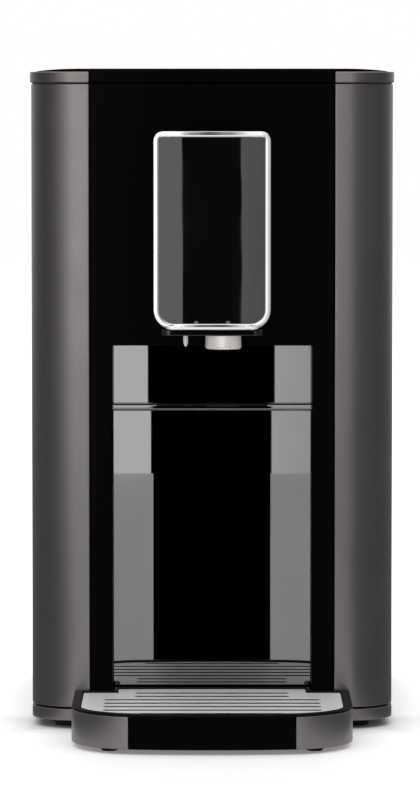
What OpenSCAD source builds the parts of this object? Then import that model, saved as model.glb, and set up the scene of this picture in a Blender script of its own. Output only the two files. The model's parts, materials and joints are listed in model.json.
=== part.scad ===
// Counter-top hot water dispenser: a tower with a display head, a cup niche and a drip tray,
// and a removable water tank behind it. Front is -Y, up is +Z, the origin is on the table
// under the middle of the overall box.

/* [Body] */
// Width over the side panels
body_w = 175; // [170:1:190]
// Depth of the tower, from the front panel to the tank
tower_d = 124; // [122:1:140]
// Depth of the plinth that carries the tank
plinth_d = 88; // [86:1:100]
// Height of the side panels' top edge above the table
side_top = 311; // [300:1:330]
// Height of the plinth's top edge above the table
plinth_top = 52; // [50:1:58]
// Radius of the casing's corners in plan
corner_r = 21; // [16:0.5:24]
// Thickness of the side panels
panel_t = 2.4; // [1.8:0.1:3]
// Height of the rubber feet
foot_h = 5.5; // [4:0.5:6.5]
// Diameter of the rubber feet
foot_d = 14; // [10:1:18]
// Distance of the feet from the casing's sides
foot_inset = 17.5; // [15:0.5:24]
// Thickness of the base pan's plate
base_h = 4; // [3.6:0.1:6]
// How far the base pan's rim hangs below its plate
rim_drop = 1.5; // [0.5:0.5:3.5]
// Width of the base pan's rim
rim_w = 3; // [2:0.5:5]
// Width of the vent slots in the base pan
air_slot_w = 3; // [2:0.1:4]
// Length of the vent slots in the base pan
air_slot_l = 30; // [20:1:40]
// Distance between the vent slots
air_slot_pitch = 9; // [7:0.5:10]
// Distance of the vent slots from the front
air_slot_in = 62; // [55:1:70]
// Width of the dark seams between casing parts
seam = 0.6; // [0.3:0.1:1]
// Depth of the dark seams
seam_d = 1.2; // [0.8:0.1:1.6]

/* [Top] */
// Height of the grey cap trims
cap_h = 5.2; // [4.5:0.1:8]
// Rise of the top cover over the trims
crown_h = 1.5; // [1:0.1:4]
// Distance over which the top cover rises from each side
crown_run = 24; // [18:1:36]
// Thickness of the cap trims
trim_t = 2.2; // [1.6:0.1:3]
// How far the cap trims stand out from the side panels
trim_out = 0.5; // [0.3:0.1:1]
// Depth of the top cover's locating lip
lip_h = 6; // [4:0.5:9]
// Thickness of the top cover's locating lip
lip_t = 2; // [1.5:0.1:3]

/* [Front and niche] */
// Width of the black front panel
front_w = 117.2; // [110:0.2:128]
// Thickness of the front panel
front_t = 3; // [2:0.1:4]
// Width of the cup niche
niche_w = 96; // [90:1:104]
// Height of the niche's ceiling above the table
niche_top = 185.5; // [175:0.5:188]
// Depth of the niche behind the front panel's face
niche_d = 17; // [15:0.5:26]
// Thickness of the niche liner
niche_t = 2; // [1.6:0.1:3]
// Thickness of the lower mirror panel
mirror_t = 2; // [1.5:0.1:3]
// Height of the bead over the mirror panel
bead_z = 155; // [130:1:165]
// Diameter of the bead
bead_d = 3.6; // [2.6:0.1:5]

/* [Head] */
// Width of the display head
head_w = 55.2; // [53:0.2:62]
// Height of the head's lower edge above the table
head_bottom = 195.5; // [194:0.5:200]
// Height of the head's upper edge above the table
head_top = 288.7; // [280:0.1:295]
// How far the head stands out from the front panel
head_reach = 46; // [44:0.5:56]
// Wall of the head shell
head_t = 3; // [2.6:0.1:4]
// Upper corner radius of the head
head_r_top = 4.5; // [4:0.1:8]
// Lower corner radius of the head
head_r_bottom = 9.5; // [6:0.1:12]
// Width of the bright bezel
bezel_w = 2.2; // [1.6:0.1:2.5]
// Thickness of the display glass
glass_t = 2.4; // [1.5:0.1:4]
// How far the glass lies behind the bezel's face
glass_set = 0.5; // [0.2:0.1:1]
// Thickness of circuit boards
board_t = 1.6; // [1:0.1:2.4]
// Height of the display board
display_board_h = 52; // [40:1:56]
// Distance of the opening behind the head from the head's upper edge
hatch_drop = 18; // [17:0.5:24]
// Width of the opening behind the head
hatch_w = 28; // [26:1:32]

/* [Spout] */
// Outer diameter of the spout
spout_d = 17; // [14:0.5:18]
// Diameter of the spout's neck
spout_neck_d = 11; // [10:0.5:12]
// Inner diameter of the spout
spout_bore = 7; // [5:0.5:8]
// Offset of the spout to the right
spout_x = 5.3; // [3:0.1:7]
// Distance of the spout's axis from the front panel
spout_reach = 35; // [33:0.5:36]
// Height of the spout's tip above the table
spout_tip = 186; // [180:0.5:188]
// Height of the block under the head
block_h = 3; // [2:0.5:4]
// Width of the block under the head
block_w = 48; // [40:1:50]
// Diameter of the vent pin
vent_d = 2.3; // [2:0.1:4]
// Offset of the vent pin to the left
vent_x = 12.5; // [11:0.1:14]
// Length of the vent pin below the head
vent_drop = 8.5; // [7:0.5:10]
// Height of the outlet chamber
chamber_h = 24; // [22:1:28]
// Wall of the outlet chamber
chamber_t = 2; // [1.5:0.1:2.5]
// Distance of the outlet chamber from the front panel
chamber_gap = 10; // [9:0.5:12]

/* [Drip tray] */
// Width of the drip tray
tray_w = 132.5; // [124:0.5:140]
// How far the tray stands out from the front panel
tray_reach = 88; // [84:1:100]
// Height of the tray's underside above the table
tray_bottom = 2.4; // [2:0.2:4]
// Height of the tray's rim above the table
tray_top = 19; // [18:0.5:26]
// Radius of the tray's front corners
tray_r = 32; // [24:1:36]
// Radius of the tray's bowed front
tray_bow_r = 320; // [250:10:500]
// Thickness of the tray's grey skirt
skirt_t = 2.4; // [2:0.1:3]
// Width of the black inlay in the tray's front
inlay_w = 78; // [60:1:82]
// Thickness of the black inlay
inlay_t = 1.2; // [0.8:0.1:1.4]
// Wall of the basin
basin_t = 1.6; // [1.2:0.1:2.4]
// Thickness of the basin's floor
basin_floor = 2; // [1.5:0.1:3]
// Height of the basin's rim over the skirt
rim_h = 1.3; // [0.8:0.1:2]
// Distance of the tray's feet from the middle
tray_foot_x = 48; // [40:1:52]
// Diameter of the tray's feet
tray_foot_d = 9; // [8:0.5:12]
// Thickness of the steel grid
grid_t = 1.4; // [1:0.1:1.6]
// Width of the grid's ledge
ledge_w = 2.5; // [2:0.1:4]
// Width of the slots in the grid
slot_w = 4; // [3:0.1:5]
// Distance between the slots
slot_pitch = 12; // [10:0.5:14]
// Length of the front slots
slot_l = 103; // [80:1:104]
// Length of the slots near the niche
slot_short = 74; // [50:1:80]
// Distance of the first slot from the tray's front
slot_first = 10.5; // [10:0.5:14]

/* [Tank] */
// Width of the water tank
tank_w = 168; // [160:1:170]
// Wall of the water tank
tank_t = 2.5; // [2:0.1:3.5]
// Thickness of the tank's floor
tank_floor = 3; // [2.5:0.1:4]
// Radius of the tank's front corners
tank_r = 3.5; // [3:0.5:6]
// Thickness of the deck under the tank
deck_t = 5; // [4:0.5:7]
// Height of the rim that locates the tank
deck_rim = 4; // [2:0.5:6]
// Diameter of the lid's hinge pin
pin_d = 3; // [2.4:0.1:3.4]
// Radius of the hinge's barrel
barrel_r = 3.4; // [3:0.1:3.5]
// Distance of the hinge lugs from the middle
lug_x = 50; // [36:1:54]
// Width of the hinge lugs
lug_w = 9; // [6:0.5:12]
// Depth of the lid's gasket in the tank's mouth
gasket_h = 3; // [2:0.5:4]
// Width of the lid's gasket
gasket_t = 2.4; // [1.6:0.1:3]

/* [Tank valve and float] */
// Outer diameter of the valve's neck
neck_d = 18; // [17:0.5:19]
// Diameter of the valve's flange in the tank
flange_d = 28; // [26:1:32]
// Thickness of the valve's flange
flange_t = 2; // [1.6:0.1:3]
// Diameter of the valve's chamber
valve_bore = 13; // [12:0.5:14]
// Diameter of the valve's port
port_d = 8; // [7:0.5:9]
// Diameter of the poppet's stem
stem_d = 3; // [2.5:0.1:3.5]
// Travel of the poppet
valve_stroke = 3; // [2:0.5:4]
// Wall of the dock's cup
cup_t = 3; // [2:0.1:3.5]
// Width of the dock's seal
seal_t = 3; // [2.5:0.1:3.5]
// Height of the dock's seal
seal_h = 4; // [3:0.5:5]
// Depth of the valve's neck below the tank
neck_l = 16; // [15:0.5:17]
// Width of the dock's flange
socket_rim = 4; // [2:0.5:5]
// Thickness of the dock's flange
socket_flange = 1.5; // [1:0.1:2]
// Wire diameter of the valve spring
wire_d = 0.9; // [0.6:0.1:1.2]
// Turns of the valve spring
spring_turns = 6; // [4:1:8]
// Height of the strainer over the valve's flange
strainer_h = 6; // [5:0.5:9]
// Outer diameter of the level float
float_d = 26; // [22:1:30]
// Height of the level float
float_h = 16; // [12:1:22]
// Rise of the level float
float_rise = 21; // [12:1:28]
// Offset of the float to the right
float_x = 50; // [40:1:60]
// Width of the level sensor
sensor_w = 12; // [10:1:16]
// Height of the level sensor
sensor_h = 26; // [20:1:32]
// Depth of the level sensor
sensor_d = 4; // [3:0.5:5]
// Diameter of the float's post
post_d = 6; // [5:0.5:8]

/* [Pump, meter and heater] */
// Distance of the pump's volute from the front panel
pump_reach = 84; // [83:0.5:86]
// Height of the pump's axis above the table
pump_z = 34; // [32:0.5:36]
// Outer radius of the pump's volute
volute_r = 21; // [20:0.5:22]
// Length of the volute
volute_l = 14; // [13:0.5:18]
// Wall of the volute and of its cover
volute_t = 3; // [2.5:0.1:3.5]
// Radius of the pump's motor
motor_r = 17; // [15:0.5:18]
// Length of the pump's motor
motor_l = 36; // [30:1:40]
// Diameter of the pump's shaft
shaft_d = 3; // [2.5:0.1:4]
// Thickness of the impeller's disc
disc_t = 1.5; // [1:0.1:2]
// Thickness of the impeller's blades
blade_t = 1.4; // [1:0.1:2]
// Radius of the impeller's hub
hub_r = 4; // [3:0.5:5]
// Clearance round the impeller
impeller_gap = 1; // [0.6:0.1:1.5]
// Offset of the pump's outlet from its axis
outlet_dx = 15; // [14:0.2:15.6]
// Radius of the flow meter
meter_r = 13; // [12:0.5:14]
// Height of the flow meter's body
meter_h = 15; // [13.5:0.5:18]
// Diameter of the flow meter's axle
axle_d = 2; // [1.6:0.1:2.4]
// Share of the plinth's free depth that lies in front of the flow meter
meter_share = 0.4; // [0.3:0.05:0.6]
// Outer diameter of the hose barbs
barb_d = 7.8; // [7:0.1:8.4]
// Inner diameter of the hose barbs
barb_bore = 5; // [4:0.1:5.6]
// Length of the hose barbs
barb_l = 8; // [7:0.5:8.5]
// Wall of the hoses
hose_t = 2; // [1.5:0.1:2.4]
// Outer radius of the heater tube
heater_r = 20; // [18:0.5:22]
// Wall of the heater tube
heater_t = 3; // [2:0.1:4]
// Height of the heater's end caps
heater_cap_h = 8; // [7:0.5:10]
// Length of the heater tube
heater_l = 92; // [80:1:96]
// Bend radius of the outlet hose
hose_bend = 18; // [14:0.5:22]
// Width of the saddles that hold the heater
saddle_w = 24; // [18:1:28]
// Height of the saddles that hold the heater
saddle_h = 10; // [6:1:12]
// Distance of the saddles from the heater tube's ends
saddle_in = 12; // [8:1:16]
// Width of the thermal cut-outs
cutout_w = 16; // [12:1:18]
// Height of the thermal cut-outs
cutout_h = 12; // [10:1:14]
// Distance of the thermal cut-outs from the heater tube's ends
cutout_in = 28; // [24:1:34]
// Diameter of the temperature probe
probe_d = 4; // [3:0.1:5]
// Length of the temperature probe inside the heater
probe_l = 14; // [10:1:20]

/* [Power board] */
// Height of the power board's lower edge above the table
board_z0 = 92; // [84:1:100]
// Height of the power board
board_h = 134; // [128:1:150]
// Distance of the power board from the bulkhead
board_off = 8; // [6:0.5:10]
// Radius of the board's bosses
board_boss_r = 3.5; // [3:0.1:4]
// Distance of the board's bosses from its edges
board_edge = 5; // [4.5:0.5:6]
// Distance between the parts on the board
part_gap = 8; // [6:1:9]
// Width of the line filter
filter_w = 24; // [18:1:26]
// Height of the line filter
filter_h = 28; // [22:1:30]
// Depth of the line filter
filter_d = 20; // [16:1:22]
// Width of the relays
relay_w = 15; // [12:1:15]
// Height of the relays
relay_h = 19; // [15:1:20]
// Depth of the relays
relay_d = 16; // [12:1:18]
// Width of the heat sink
sink_w = 32; // [26:1:34]
// Height of the heat sink
sink_h = 40; // [34:1:42]
// Thickness of the heat sink's back
sink_t = 4; // [3:0.5:5]
// Depth of the heat sink with its fins
sink_d = 18; // [12:1:20]
// Thickness of the heat sink's fins
fin_t = 2; // [1.5:0.1:2.4]
// Radius of the capacitor
capacitor_r = 5; // [4:0.5:5]
// Length of the capacitor
capacitor_l = 22; // [16:1:24]

/* [Rear] */
// Thickness of the rear bulkhead and of the rear panel
wall_t = 2.4; // [2:0.1:2.6]
// Offset of the cord gland to the left
gland_x = 34; // [28:1:44]
// Bore of the cord gland
gland_bore = 7.2; // [6:0.1:8]
// Offset of the mains switch to the right
switch_x = 30; // [26:1:40]
// Height of the gland's and the switch's middle above the table
rear_z = 30; // [28:0.5:32]
// Width of the mains rocker
rocker_w = 14; // [10:0.5:16]
// Radius of the mains rocker's body
rocker_r = 7; // [6:0.2:7.6]
// Turn of the mains rocker in degrees
rocker_turn = 20; // [12:1:24]

/* [Fits] */
// Gap between parts that move apart
gap = 0.4; // [0.3:0.05:0.5]
// Running clearance of shafts, each side
run = 0.06; // [0.03:0.01:0.1]
// Clearance between fixed parts, each side
fit = 0.1; // [0.05:0.01:0.2]

/* [Screws] */
// Shank diameter of the screws
screw_d = 2.8; // [2.4:0.1:3.2]
// Shank length of the screws
screw_l = 12; // [10:1:14]
// Head diameter of the screws
screw_head_d = 5.6; // [5:0.1:6]
// Head height of the screws
screw_head_h = 2.2; // [1.8:0.1:2.4]
// Diameter of the screw bosses
boss_d = 8; // [7:0.5:9]

/* [Hidden] */
$fn = 48;
front_y = (tray_reach - tower_d - plinth_d) / 2;
tower_back = front_y + tower_d;
rear_y = tower_back + plinth_d;
tray_front = front_y - tray_reach;
half_w = body_w / 2;
base_top = foot_h + base_h;
panel_z = base_top + seam;
cap_z = side_top + seam;
cap_top = cap_z + cap_h;
crown_z = cap_top + crown_h;
crown_r = (crown_run * crown_run + crown_h * crown_h) / (2 * crown_h);
front_edge = front_w / 2;
lip_in = max(panel_t, front_t) + fit;
foot_places = [for (x = [-1, 1], y = [front_y + foot_inset, rear_y - foot_inset])
    [x * (half_w - foot_inset), y]];
boss_x = half_w - panel_t - boss_d / 2 + 0.6;
boss_h = screw_l + 2;
boss_ys = [front_y + corner_r + boss_d, rear_y - corner_r - boss_d];

niche_back = front_y + niche_d;
bead_y = niche_back - mirror_t - bead_d / 2;

head_front = front_y - head_reach;
bezel_d = glass_set + glass_t;
shell_front = head_front + bezel_d;
spout_y = front_y - spout_reach;
block_z = head_bottom - block_h;
vent_tip = head_bottom - vent_drop;
chamber_z = head_bottom + head_t;
chamber_front = spout_y - spout_neck_d / 2 - chamber_t;
chamber_back = front_y - chamber_gap;
chamber_x0 = -vent_x - vent_d / 2 - 1.5 * chamber_t;
chamber_x1 = spout_x + spout_neck_d / 2 + 2 * chamber_t;
hatch_z0 = chamber_z + 5;
hatch_z1 = head_top - hatch_drop;
head_boss_x = head_w / 2 - head_t - boss_d / 2 + 0.8;
head_boss_zs = [head_bottom + head_t + boss_d / 2 + 3, head_top - head_t - boss_d / 2 - 1];

tray_back = front_y - gap;
tray_cx = tray_w / 2 - tray_r;
bow_cy = tray_front + tray_bow_r;
tray_cy = bow_cy - sqrt((tray_bow_r - tray_r) * (tray_bow_r - tray_r) - tray_cx * tray_cx);
basin_in = skirt_t + fit;
skirt_top = tray_top - rim_h;
tongue_w = niche_w - 4 * gap;
tongue_back = niche_back - mirror_t - bead_d - gap;
tongue_bottom = panel_z + gap;
ledge_z = tray_top - grid_t - 0.8;
grid_in = basin_in + basin_t + gap;
slot_last = tongue_back - basin_t - gap - 3 - slot_w / 2;
slot_count = floor((slot_last - tray_front - slot_first) / slot_pitch) + 1;

deck_z = plinth_top;
deck_top = deck_z + deck_t;
tank_front = tower_back + 1.5;
tank_back = rear_y - 1;
tank_top = side_top - 2;
pin_y = rear_y - barrel_r - 0.3;
pin_z = cap_z + barrel_r;
lid_front = tower_back + seam;
rear_r = corner_r - (half_w - tank_w / 2) + 1;

pump_x = spout_x - outlet_dx;
volute_front = front_y + pump_reach;
volute_back = volute_front + volute_l;
shaft_l = motor_l / 4;
pump_y = volute_front + volute_t + (volute_l - volute_t) / 2;
cavity_r = volute_r - 3.5;
cover_back = volute_back + volute_t;
meter_z = pump_z - meter_h * 0.6;
meter_top = meter_z + meter_h;
meter_cavity = meter_r - 2.5;
hose_r = barb_d / 2 + fit + hose_t;
hose_bore_r = barb_d / 2 + fit;
cup_r = neck_d / 2 + seal_t + cup_t;
hose_free = 2 * barb_l + 1;
plinth_spare = rear_y - panel_t - wall_t - 2 * fit - tower_back - 2 * meter_r - hose_free - 2 * cup_r;
meter_y = tower_back + meter_share * plinth_spare + meter_r;
dock_y = meter_y + meter_r + hose_free + cup_r;
cup_floor = pump_z - barb_bore / 2 - 1.5;
cup_bottom = cup_floor - cup_t;
neck_bottom = deck_top - neck_l;
seat_z = neck_bottom + 3;
seal_z = seat_z + valve_stroke + gap / 2;
disc_z = seal_z + 1.5;
disc_top = disc_z + 2;
floor_z = deck_top + tank_floor;
valve_flange_top = floor_z + flange_t;
strainer_top = valve_flange_top + strainer_h;
nub_z = neck_bottom - 0.5;
spring_r = valve_bore / 2 - wire_d - 0.9;
float_y = tank_front + tank_t + float_d / 2 + 3;
float_z = floor_z + 1.5 + gap;
post_top = float_z + float_h + float_rise + gap;

heater_y = pump_y;
plug_l = heater_cap_h / 2;
probe_x = heater_r * 0.55;
heater_z = pump_z + 2 * barb_l + volute_r + 13;
heater_top = heater_z + heater_l;
heater_barb_top = heater_top + heater_cap_h + barb_l;
outlet_z = max(chamber_z + 0.6 * chamber_h, heater_barb_top + hose_t + hose_bend);

bulk_y = tower_back - wall_t;
bulk_top = side_top - lip_h - fit;
board_x0 = -half_w + panel_t + 7;
board_x1 = spout_x - heater_r - 9;
board_y = bulk_y - board_off;
board_face = board_y - board_t;
board_places = [for (x = [board_x0 + board_edge, board_x1 - board_edge],
    z = [board_z0 + board_edge, board_z0 + board_h - board_edge]) [x, z]];
relay_z = board_edge + part_gap + filter_h + part_gap;
sink_z = relay_z + relay_h + part_gap;
rear_face = rear_y - panel_t;
rocker_y = rear_face - 4.6;
flange_out = 1.5;

// Outline from y0 to y1 with corner radius r0 at the y0 end and r1 at the y1 end
module round_box(w, y0, y1, r0, r1) {
    translate([-w / 2 + r0, y0]) square([w - 2 * r0, r0]);
    translate([-w / 2, y0 + r0]) square([w, y1 - y0 - r0 - r1]);
    translate([-w / 2 + r1, y1 - r1]) square([w - 2 * r1, r1]);
    for (s = [-1, 1]) {
        translate([s * (w / 2 - r0), y0 + r0]) circle(r = r0);
        translate([s * (w / 2 - r1), y1 - r1]) circle(r = r1);
    }
}

module body_plan(inset = 0) {
    r = corner_r - inset;
    round_box(body_w - 2 * inset, front_y + inset, rear_y - inset, r, r);
}

module body_ring(t) {
    difference() {
        body_plan();
        body_plan(t);
    }
}

// Half plane strip: everything with y from y0 to y1
module strip(y0, y1) {
    translate([-body_w, y0]) square([2 * body_w, y1 - y0]);
}

module tower_plan(inset = 0) {
    intersection() {
        body_plan(inset);
        strip(front_y - 1, tower_back - inset);
    }
}

module head_plan(inset = 0) {
    round_box(head_w - 2 * inset, head_bottom + inset, head_top - inset,
        head_r_bottom - inset, head_r_top - inset);
}

module tank_plan(inset = 0) {
    round_box(tank_w - 2 * inset, tank_front + inset, tank_back - inset,
        max(tank_r - inset, gap), rear_r - inset);
}

// An outline in X and Z, drawn out along Y from y0 to y1
module along_y(y0, y1) {
    translate([0, y1, 0]) rotate([90, 0, 0]) linear_extrude(y1 - y0) children();
}

module raise(z0, z1) {
    translate([0, 0, z0]) linear_extrude(z1 - z0) children();
}

module rod_y(r, y0, y1) {
    translate([0, y0, 0]) rotate([-90, 0, 0]) cylinder(r = r, h = y1 - y0);
}

module rod_z(r, z0, z1) {
    translate([0, 0, z0]) cylinder(r = r, h = z1 - z0);
}

module rod_x(r, x0, x1) {
    translate([x0, 0, 0]) rotate([0, 90, 0]) cylinder(r = r, h = x1 - x0);
}

// Screw with its head's underside at the origin and its shank up +Z
module screw() {
    translate([0, 0, -screw_head_h]) cylinder(d = screw_head_d, h = screw_head_h);
    cylinder(d = screw_d, h = screw_l);
}

module base_screw_places() {
    for (x = [-1, 1], y = boss_ys)
        translate([x * boss_x, y, base_top - 1.4]) children();
}

module head_screw_places() {
    for (x = [-1, 1], z = head_boss_zs)
        translate([x * head_boss_x, front_y + front_t, z]) rotate([90, 0, 0]) children();
}

module base_pan() color("dimgray") difference() {
    union() {
        raise(foot_h, base_top) body_plan();
        raise(foot_h - rim_drop, foot_h) body_ring(rim_w);
        raise(base_top, panel_z) body_plan(seam_d);
        translate([pump_x - motor_r * 0.7, volute_front - motor_l + 6, panel_z])
            cube([motor_r * 1.4, motor_l - 16, pump_z - panel_z - motor_r * 0.6]);
    }
    translate([pump_x, 0, pump_z]) rod_y(motor_r + fit, volute_front - motor_l - 1, volute_front + 1);
    for (p = foot_places) translate([p.x, p.y, foot_h - 1]) cylinder(d = 5 + 2 * fit, h = 3.6);
    base_screw_places() {
        translate([0, 0, -base_h]) cylinder(d = screw_head_d + 0.6, h = base_h);
        translate([0, 0, -1]) cylinder(d = screw_d + 2 * fit, h = base_h + 2);
    }
    for (i = [-4 : 4]) translate([i * air_slot_pitch, front_y + air_slot_in, foot_h - 1]) raise(0, base_h + 3)
        round_box(air_slot_w, 0, air_slot_l, 0.45 * air_slot_w, 0.45 * air_slot_w);
}

module base_feet() color("#202020") for (p = foot_places) translate([p.x, p.y, 0]) {
    rod_z(foot_d / 2, 0, foot_h);
    rod_z(2.5, foot_h - 0.5, foot_h + 2.4);
}

module side_panel() difference() {
    union() {
        raise(panel_z, side_top) intersection() {
            body_ring(panel_t);
            translate([front_edge + seam / 2, front_y - 1]) square([half_w, tower_d + 1]);
        }
        raise(panel_z, plinth_top) intersection() {
            body_ring(panel_t);
            translate([front_edge + seam / 2, front_y - 1]) square([half_w, rear_y - front_y + 2]);
        }
        for (y = boss_ys) translate([boss_x, y, 0]) rod_z(boss_d / 2, panel_z, panel_z + boss_h);
    }
    for (y = boss_ys) translate([boss_x, y, 0])
        rod_z(screw_d / 2 + fit / 2, panel_z - 1, panel_z + boss_h - 1);
}

module right_side_panel() color("gray") side_panel();

module left_side_panel() color("gray") mirror([1, 0, 0]) side_panel();

module front_panel() color("#101012") difference() {
    translate([-front_edge, front_y, panel_z]) cube([front_w, front_t, side_top - panel_z]);
    translate([-niche_w / 2, front_y - 1, panel_z - 1])
        cube([niche_w, front_t + 2, niche_top - panel_z + 1]);
    translate([-hatch_w / 2, front_y - 1, hatch_z0]) cube([hatch_w, front_t + 2, hatch_z1 - hatch_z0]);
    head_screw_places() translate([0, 0, -1]) cylinder(d = screw_d + 2 * fit, h = front_t + 2);
}

module niche_liner() color("#2a2a2e") difference() {
    w = niche_w + 2 * niche_t;
    translate([-w / 2, front_y + front_t, panel_z])
        cube([w, niche_d - front_t + niche_t, niche_top + niche_t - panel_z]);
    translate([-niche_w / 2, front_y, panel_z - 1])
        cube([niche_w, niche_d, niche_top - panel_z + 1]);
}

module niche_mirror() color("#3c3c42") translate([-niche_w / 2 + fit, niche_back - mirror_t, panel_z])
    cube([niche_w - 2 * fit, mirror_t, bead_z + bead_d / 2 - panel_z]);

// Bead over the mirror panel's top edge
module niche_bead() color("#56565c") translate([0, bead_y, bead_z])
    rod_x(bead_d / 2, -niche_w / 2 + fit, niche_w / 2 - fit);

module rear_bulkhead() color("#1c1c1e") difference() {
    union() {
        translate([-half_w + panel_t + fit, bulk_y, panel_z])
            cube([body_w - 2 * panel_t - 2 * fit, wall_t, bulk_top - panel_z]);
        for (z = [heater_z + saddle_in, heater_top - saddle_in - saddle_h])
            translate([spout_x - saddle_w / 2, heater_y + heater_r * 0.6, z])
                cube([saddle_w, bulk_y - heater_y - heater_r * 0.6, saddle_h]);
        for (p = board_places) translate([p.x, 0, p.y]) rod_y(board_boss_r, board_y, bulk_y);
    }
    translate([spout_x, heater_y, 0]) rod_z(heater_r + fit, heater_z, heater_top);
    translate([pump_x, 0, pump_z]) rod_y(hose_r + 0.3, bulk_y - 1, tower_back + 1);
}

module rear_panel() color("#1c1c1e") difference() {
    w = front_w + 10;
    translate([-w / 2, rear_face - wall_t, panel_z]) cube([w, wall_t, plinth_top - panel_z]);
    translate([-gland_x, 0, rear_z]) rod_y(gland_bore / 2 + 2.6 + fit, rear_face - wall_t - 1, rear_face + 1);
    translate([switch_x - rocker_w / 2 - 2.5 - fit, rear_face - wall_t - 1, rear_z - rocker_r - 2 - fit])
        cube([rocker_w + 5 + 2 * fit, wall_t + 2, 2 * rocker_r + 4 + 2 * fit]);
}

module tank_deck() color("#1c1c1e") difference() {
    union() {
        raise(deck_z, deck_top) intersection() {
            body_plan();
            strip(tower_back + fit, rear_y + 1);
        }
        raise(deck_top, deck_top + deck_rim) difference() {
            intersection() {
                body_plan();
                strip(tank_front - gap - 0.8, rear_y + 1);
            }
            tank_plan(-gap);
        }
    }
    translate([pump_x, dock_y, 0]) {
        rod_z(cup_r + fit, deck_z - 1, deck_top + 1);
        rod_z(cup_r + socket_rim + fit, deck_top - socket_flange, deck_top + 1);
    }
}

// Front view of the cap: flat top that falls to the trims at both sides
module crown_profile() intersection() {
    translate([-half_w, cap_z]) square([body_w, cap_h + crown_h]);
    union() {
        translate([-half_w + crown_run, cap_z - 1]) square([body_w - 2 * crown_run, cap_h + crown_h + 1]);
        for (s = [-1, 1]) translate([s * (half_w - crown_run), crown_z - crown_r]) circle(r = crown_r);
    }
}

// Plan of the right cap trim, from one inset of the casing's outline to another
module trim_plan(outer, inner) intersection() {
    difference() {
        body_plan(outer);
        body_plan(inner);
    }
    translate([front_edge + seam / 2, front_y - 1]) square([half_w, tower_d + 1]);
}

module top_cover() color("#0c0c0e") difference() {
    union() {
        intersection() {
            raise(cap_z, crown_z) tower_plan();
            along_y(front_y - 1, tower_back + 1) crown_profile();
        }
        raise(side_top - lip_h, cap_z) tower_plan(lip_in);
    }
    for (s = [0, 1]) mirror([s, 0, 0]) raise(cap_z - 1, crown_z + 1) trim_plan(0, trim_t + fit);
    raise(side_top - lip_h - 1, cap_top - 2)
        tower_plan(lip_in + lip_t);
}

module cap_trim() {
    raise(cap_z, cap_top) trim_plan(-trim_out, trim_t);
    raise(side_top, cap_z) trim_plan(seam, trim_t);
}

module right_cap_trim() color("gray") cap_trim();

module left_cap_trim() color("gray") mirror([1, 0, 0]) cap_trim();

module head_shell() color("#141416") difference() {
    union() {
        along_y(shell_front, front_y) difference() {
            head_plan();
            head_plan(head_t);
        }
        for (x = [-1, 1], z = head_boss_zs) intersection() {
            translate([x * head_boss_x, 0, z]) rod_y(boss_d / 2, front_y - screw_l, front_y);
            along_y(shell_front, front_y) head_plan(1);
        }
    }
    head_screw_places() cylinder(d = screw_d + fit, h = front_t + screw_l - 1.5);
    translate([spout_x, spout_y, 0]) rod_z(spout_neck_d / 2 + fit, head_bottom - 1, chamber_z + 1);
    translate([-vent_x, spout_y, 0]) rod_z(vent_d / 2 + fit, head_bottom - 1, chamber_z + 1);
}

module head_bezel() color("silver") along_y(head_front, shell_front) difference() {
    head_plan();
    head_plan(bezel_w);
}

module display_glass() color("#08080a") along_y(head_front + glass_set, shell_front)
    head_plan(bezel_w + fit);

module display_board() color("darkgreen") translate([-head_w / 2 + head_t + 3, shell_front,
    head_top - head_t - 2 - display_board_h]) cube([head_w - 2 * head_t - 6, board_t, display_board_h]);

module spout_block() color("#141416") difference() {
    raise(block_z, head_bottom) round_box(block_w, shell_front + 1, front_y, 4, 0.5);
    translate([spout_x, spout_y, 0]) rod_z(spout_neck_d / 2 + fit, block_z - 1, head_bottom + 1);
    translate([-vent_x, spout_y, 0]) rod_z(vent_d / 2 + fit, block_z - 1, head_bottom + 1);
}

module spout() color("lightgray") translate([spout_x, spout_y, 0]) difference() {
    union() {
        rod_z(spout_d / 2, spout_tip, block_z);
        rod_z(spout_neck_d / 2, block_z - 1, chamber_z + chamber_t);
    }
    rod_z(spout_bore / 2, spout_tip - 1, chamber_z + chamber_t + 1);
    rod_z(spout_d / 2 - 2, spout_tip - 1, block_z - 2);
}

module vent_pin() color("lightgray") translate([-vent_x, spout_y, 0]) {
    point = vent_d * 0.8;
    rod_z(vent_d / 2, vent_tip + point, chamber_z + chamber_t);
    translate([0, 0, vent_tip]) cylinder(r1 = vent_d * 0.12, r2 = vent_d / 2, h = point);
}

module outlet_chamber() color("ivory") difference() {
    x0 = chamber_x0;
    w = chamber_x1 - chamber_x0;
    d = chamber_back - chamber_front;
    union() {
        translate([x0, chamber_front, chamber_z]) cube([w, d, chamber_h]);
        translate([spout_x, 0, outlet_z]) rod_y(barb_d / 2, chamber_back - 1, chamber_back + barb_l);
    }
    translate([x0 + chamber_t, chamber_front + chamber_t, chamber_z + chamber_t])
        cube([w - 2 * chamber_t, d - 2 * chamber_t, chamber_h - 2 * chamber_t]);
    translate([spout_x, 0, outlet_z])
        rod_y(barb_bore / 2, chamber_back - chamber_t - 1, chamber_back + barb_l + 1);
    translate([spout_x, spout_y, 0]) rod_z(spout_neck_d / 2 + fit, chamber_z - 1, chamber_z + chamber_t + 1);
    translate([-vent_x, spout_y, 0]) rod_z(vent_d / 2 + fit, chamber_z - 1, chamber_z + chamber_t + 1);
}

// Hose from the heater's top barb over a bend to the outlet chamber
module outlet_hose_solid(r, more) {
    z0 = heater_top + heater_cap_h + 0.5 - more;
    translate([spout_x, heater_y, 0]) rod_z(r, z0, outlet_z - hose_bend);
    translate([spout_x, heater_y - hose_bend, outlet_z - hose_bend]) rotate([90, 0, 90])
        rotate_extrude(angle = 90) translate([hose_bend, 0]) circle(r = r);
    translate([spout_x, 0, outlet_z]) rod_y(r, chamber_back + 0.5 - more, heater_y - hose_bend);
}

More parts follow.
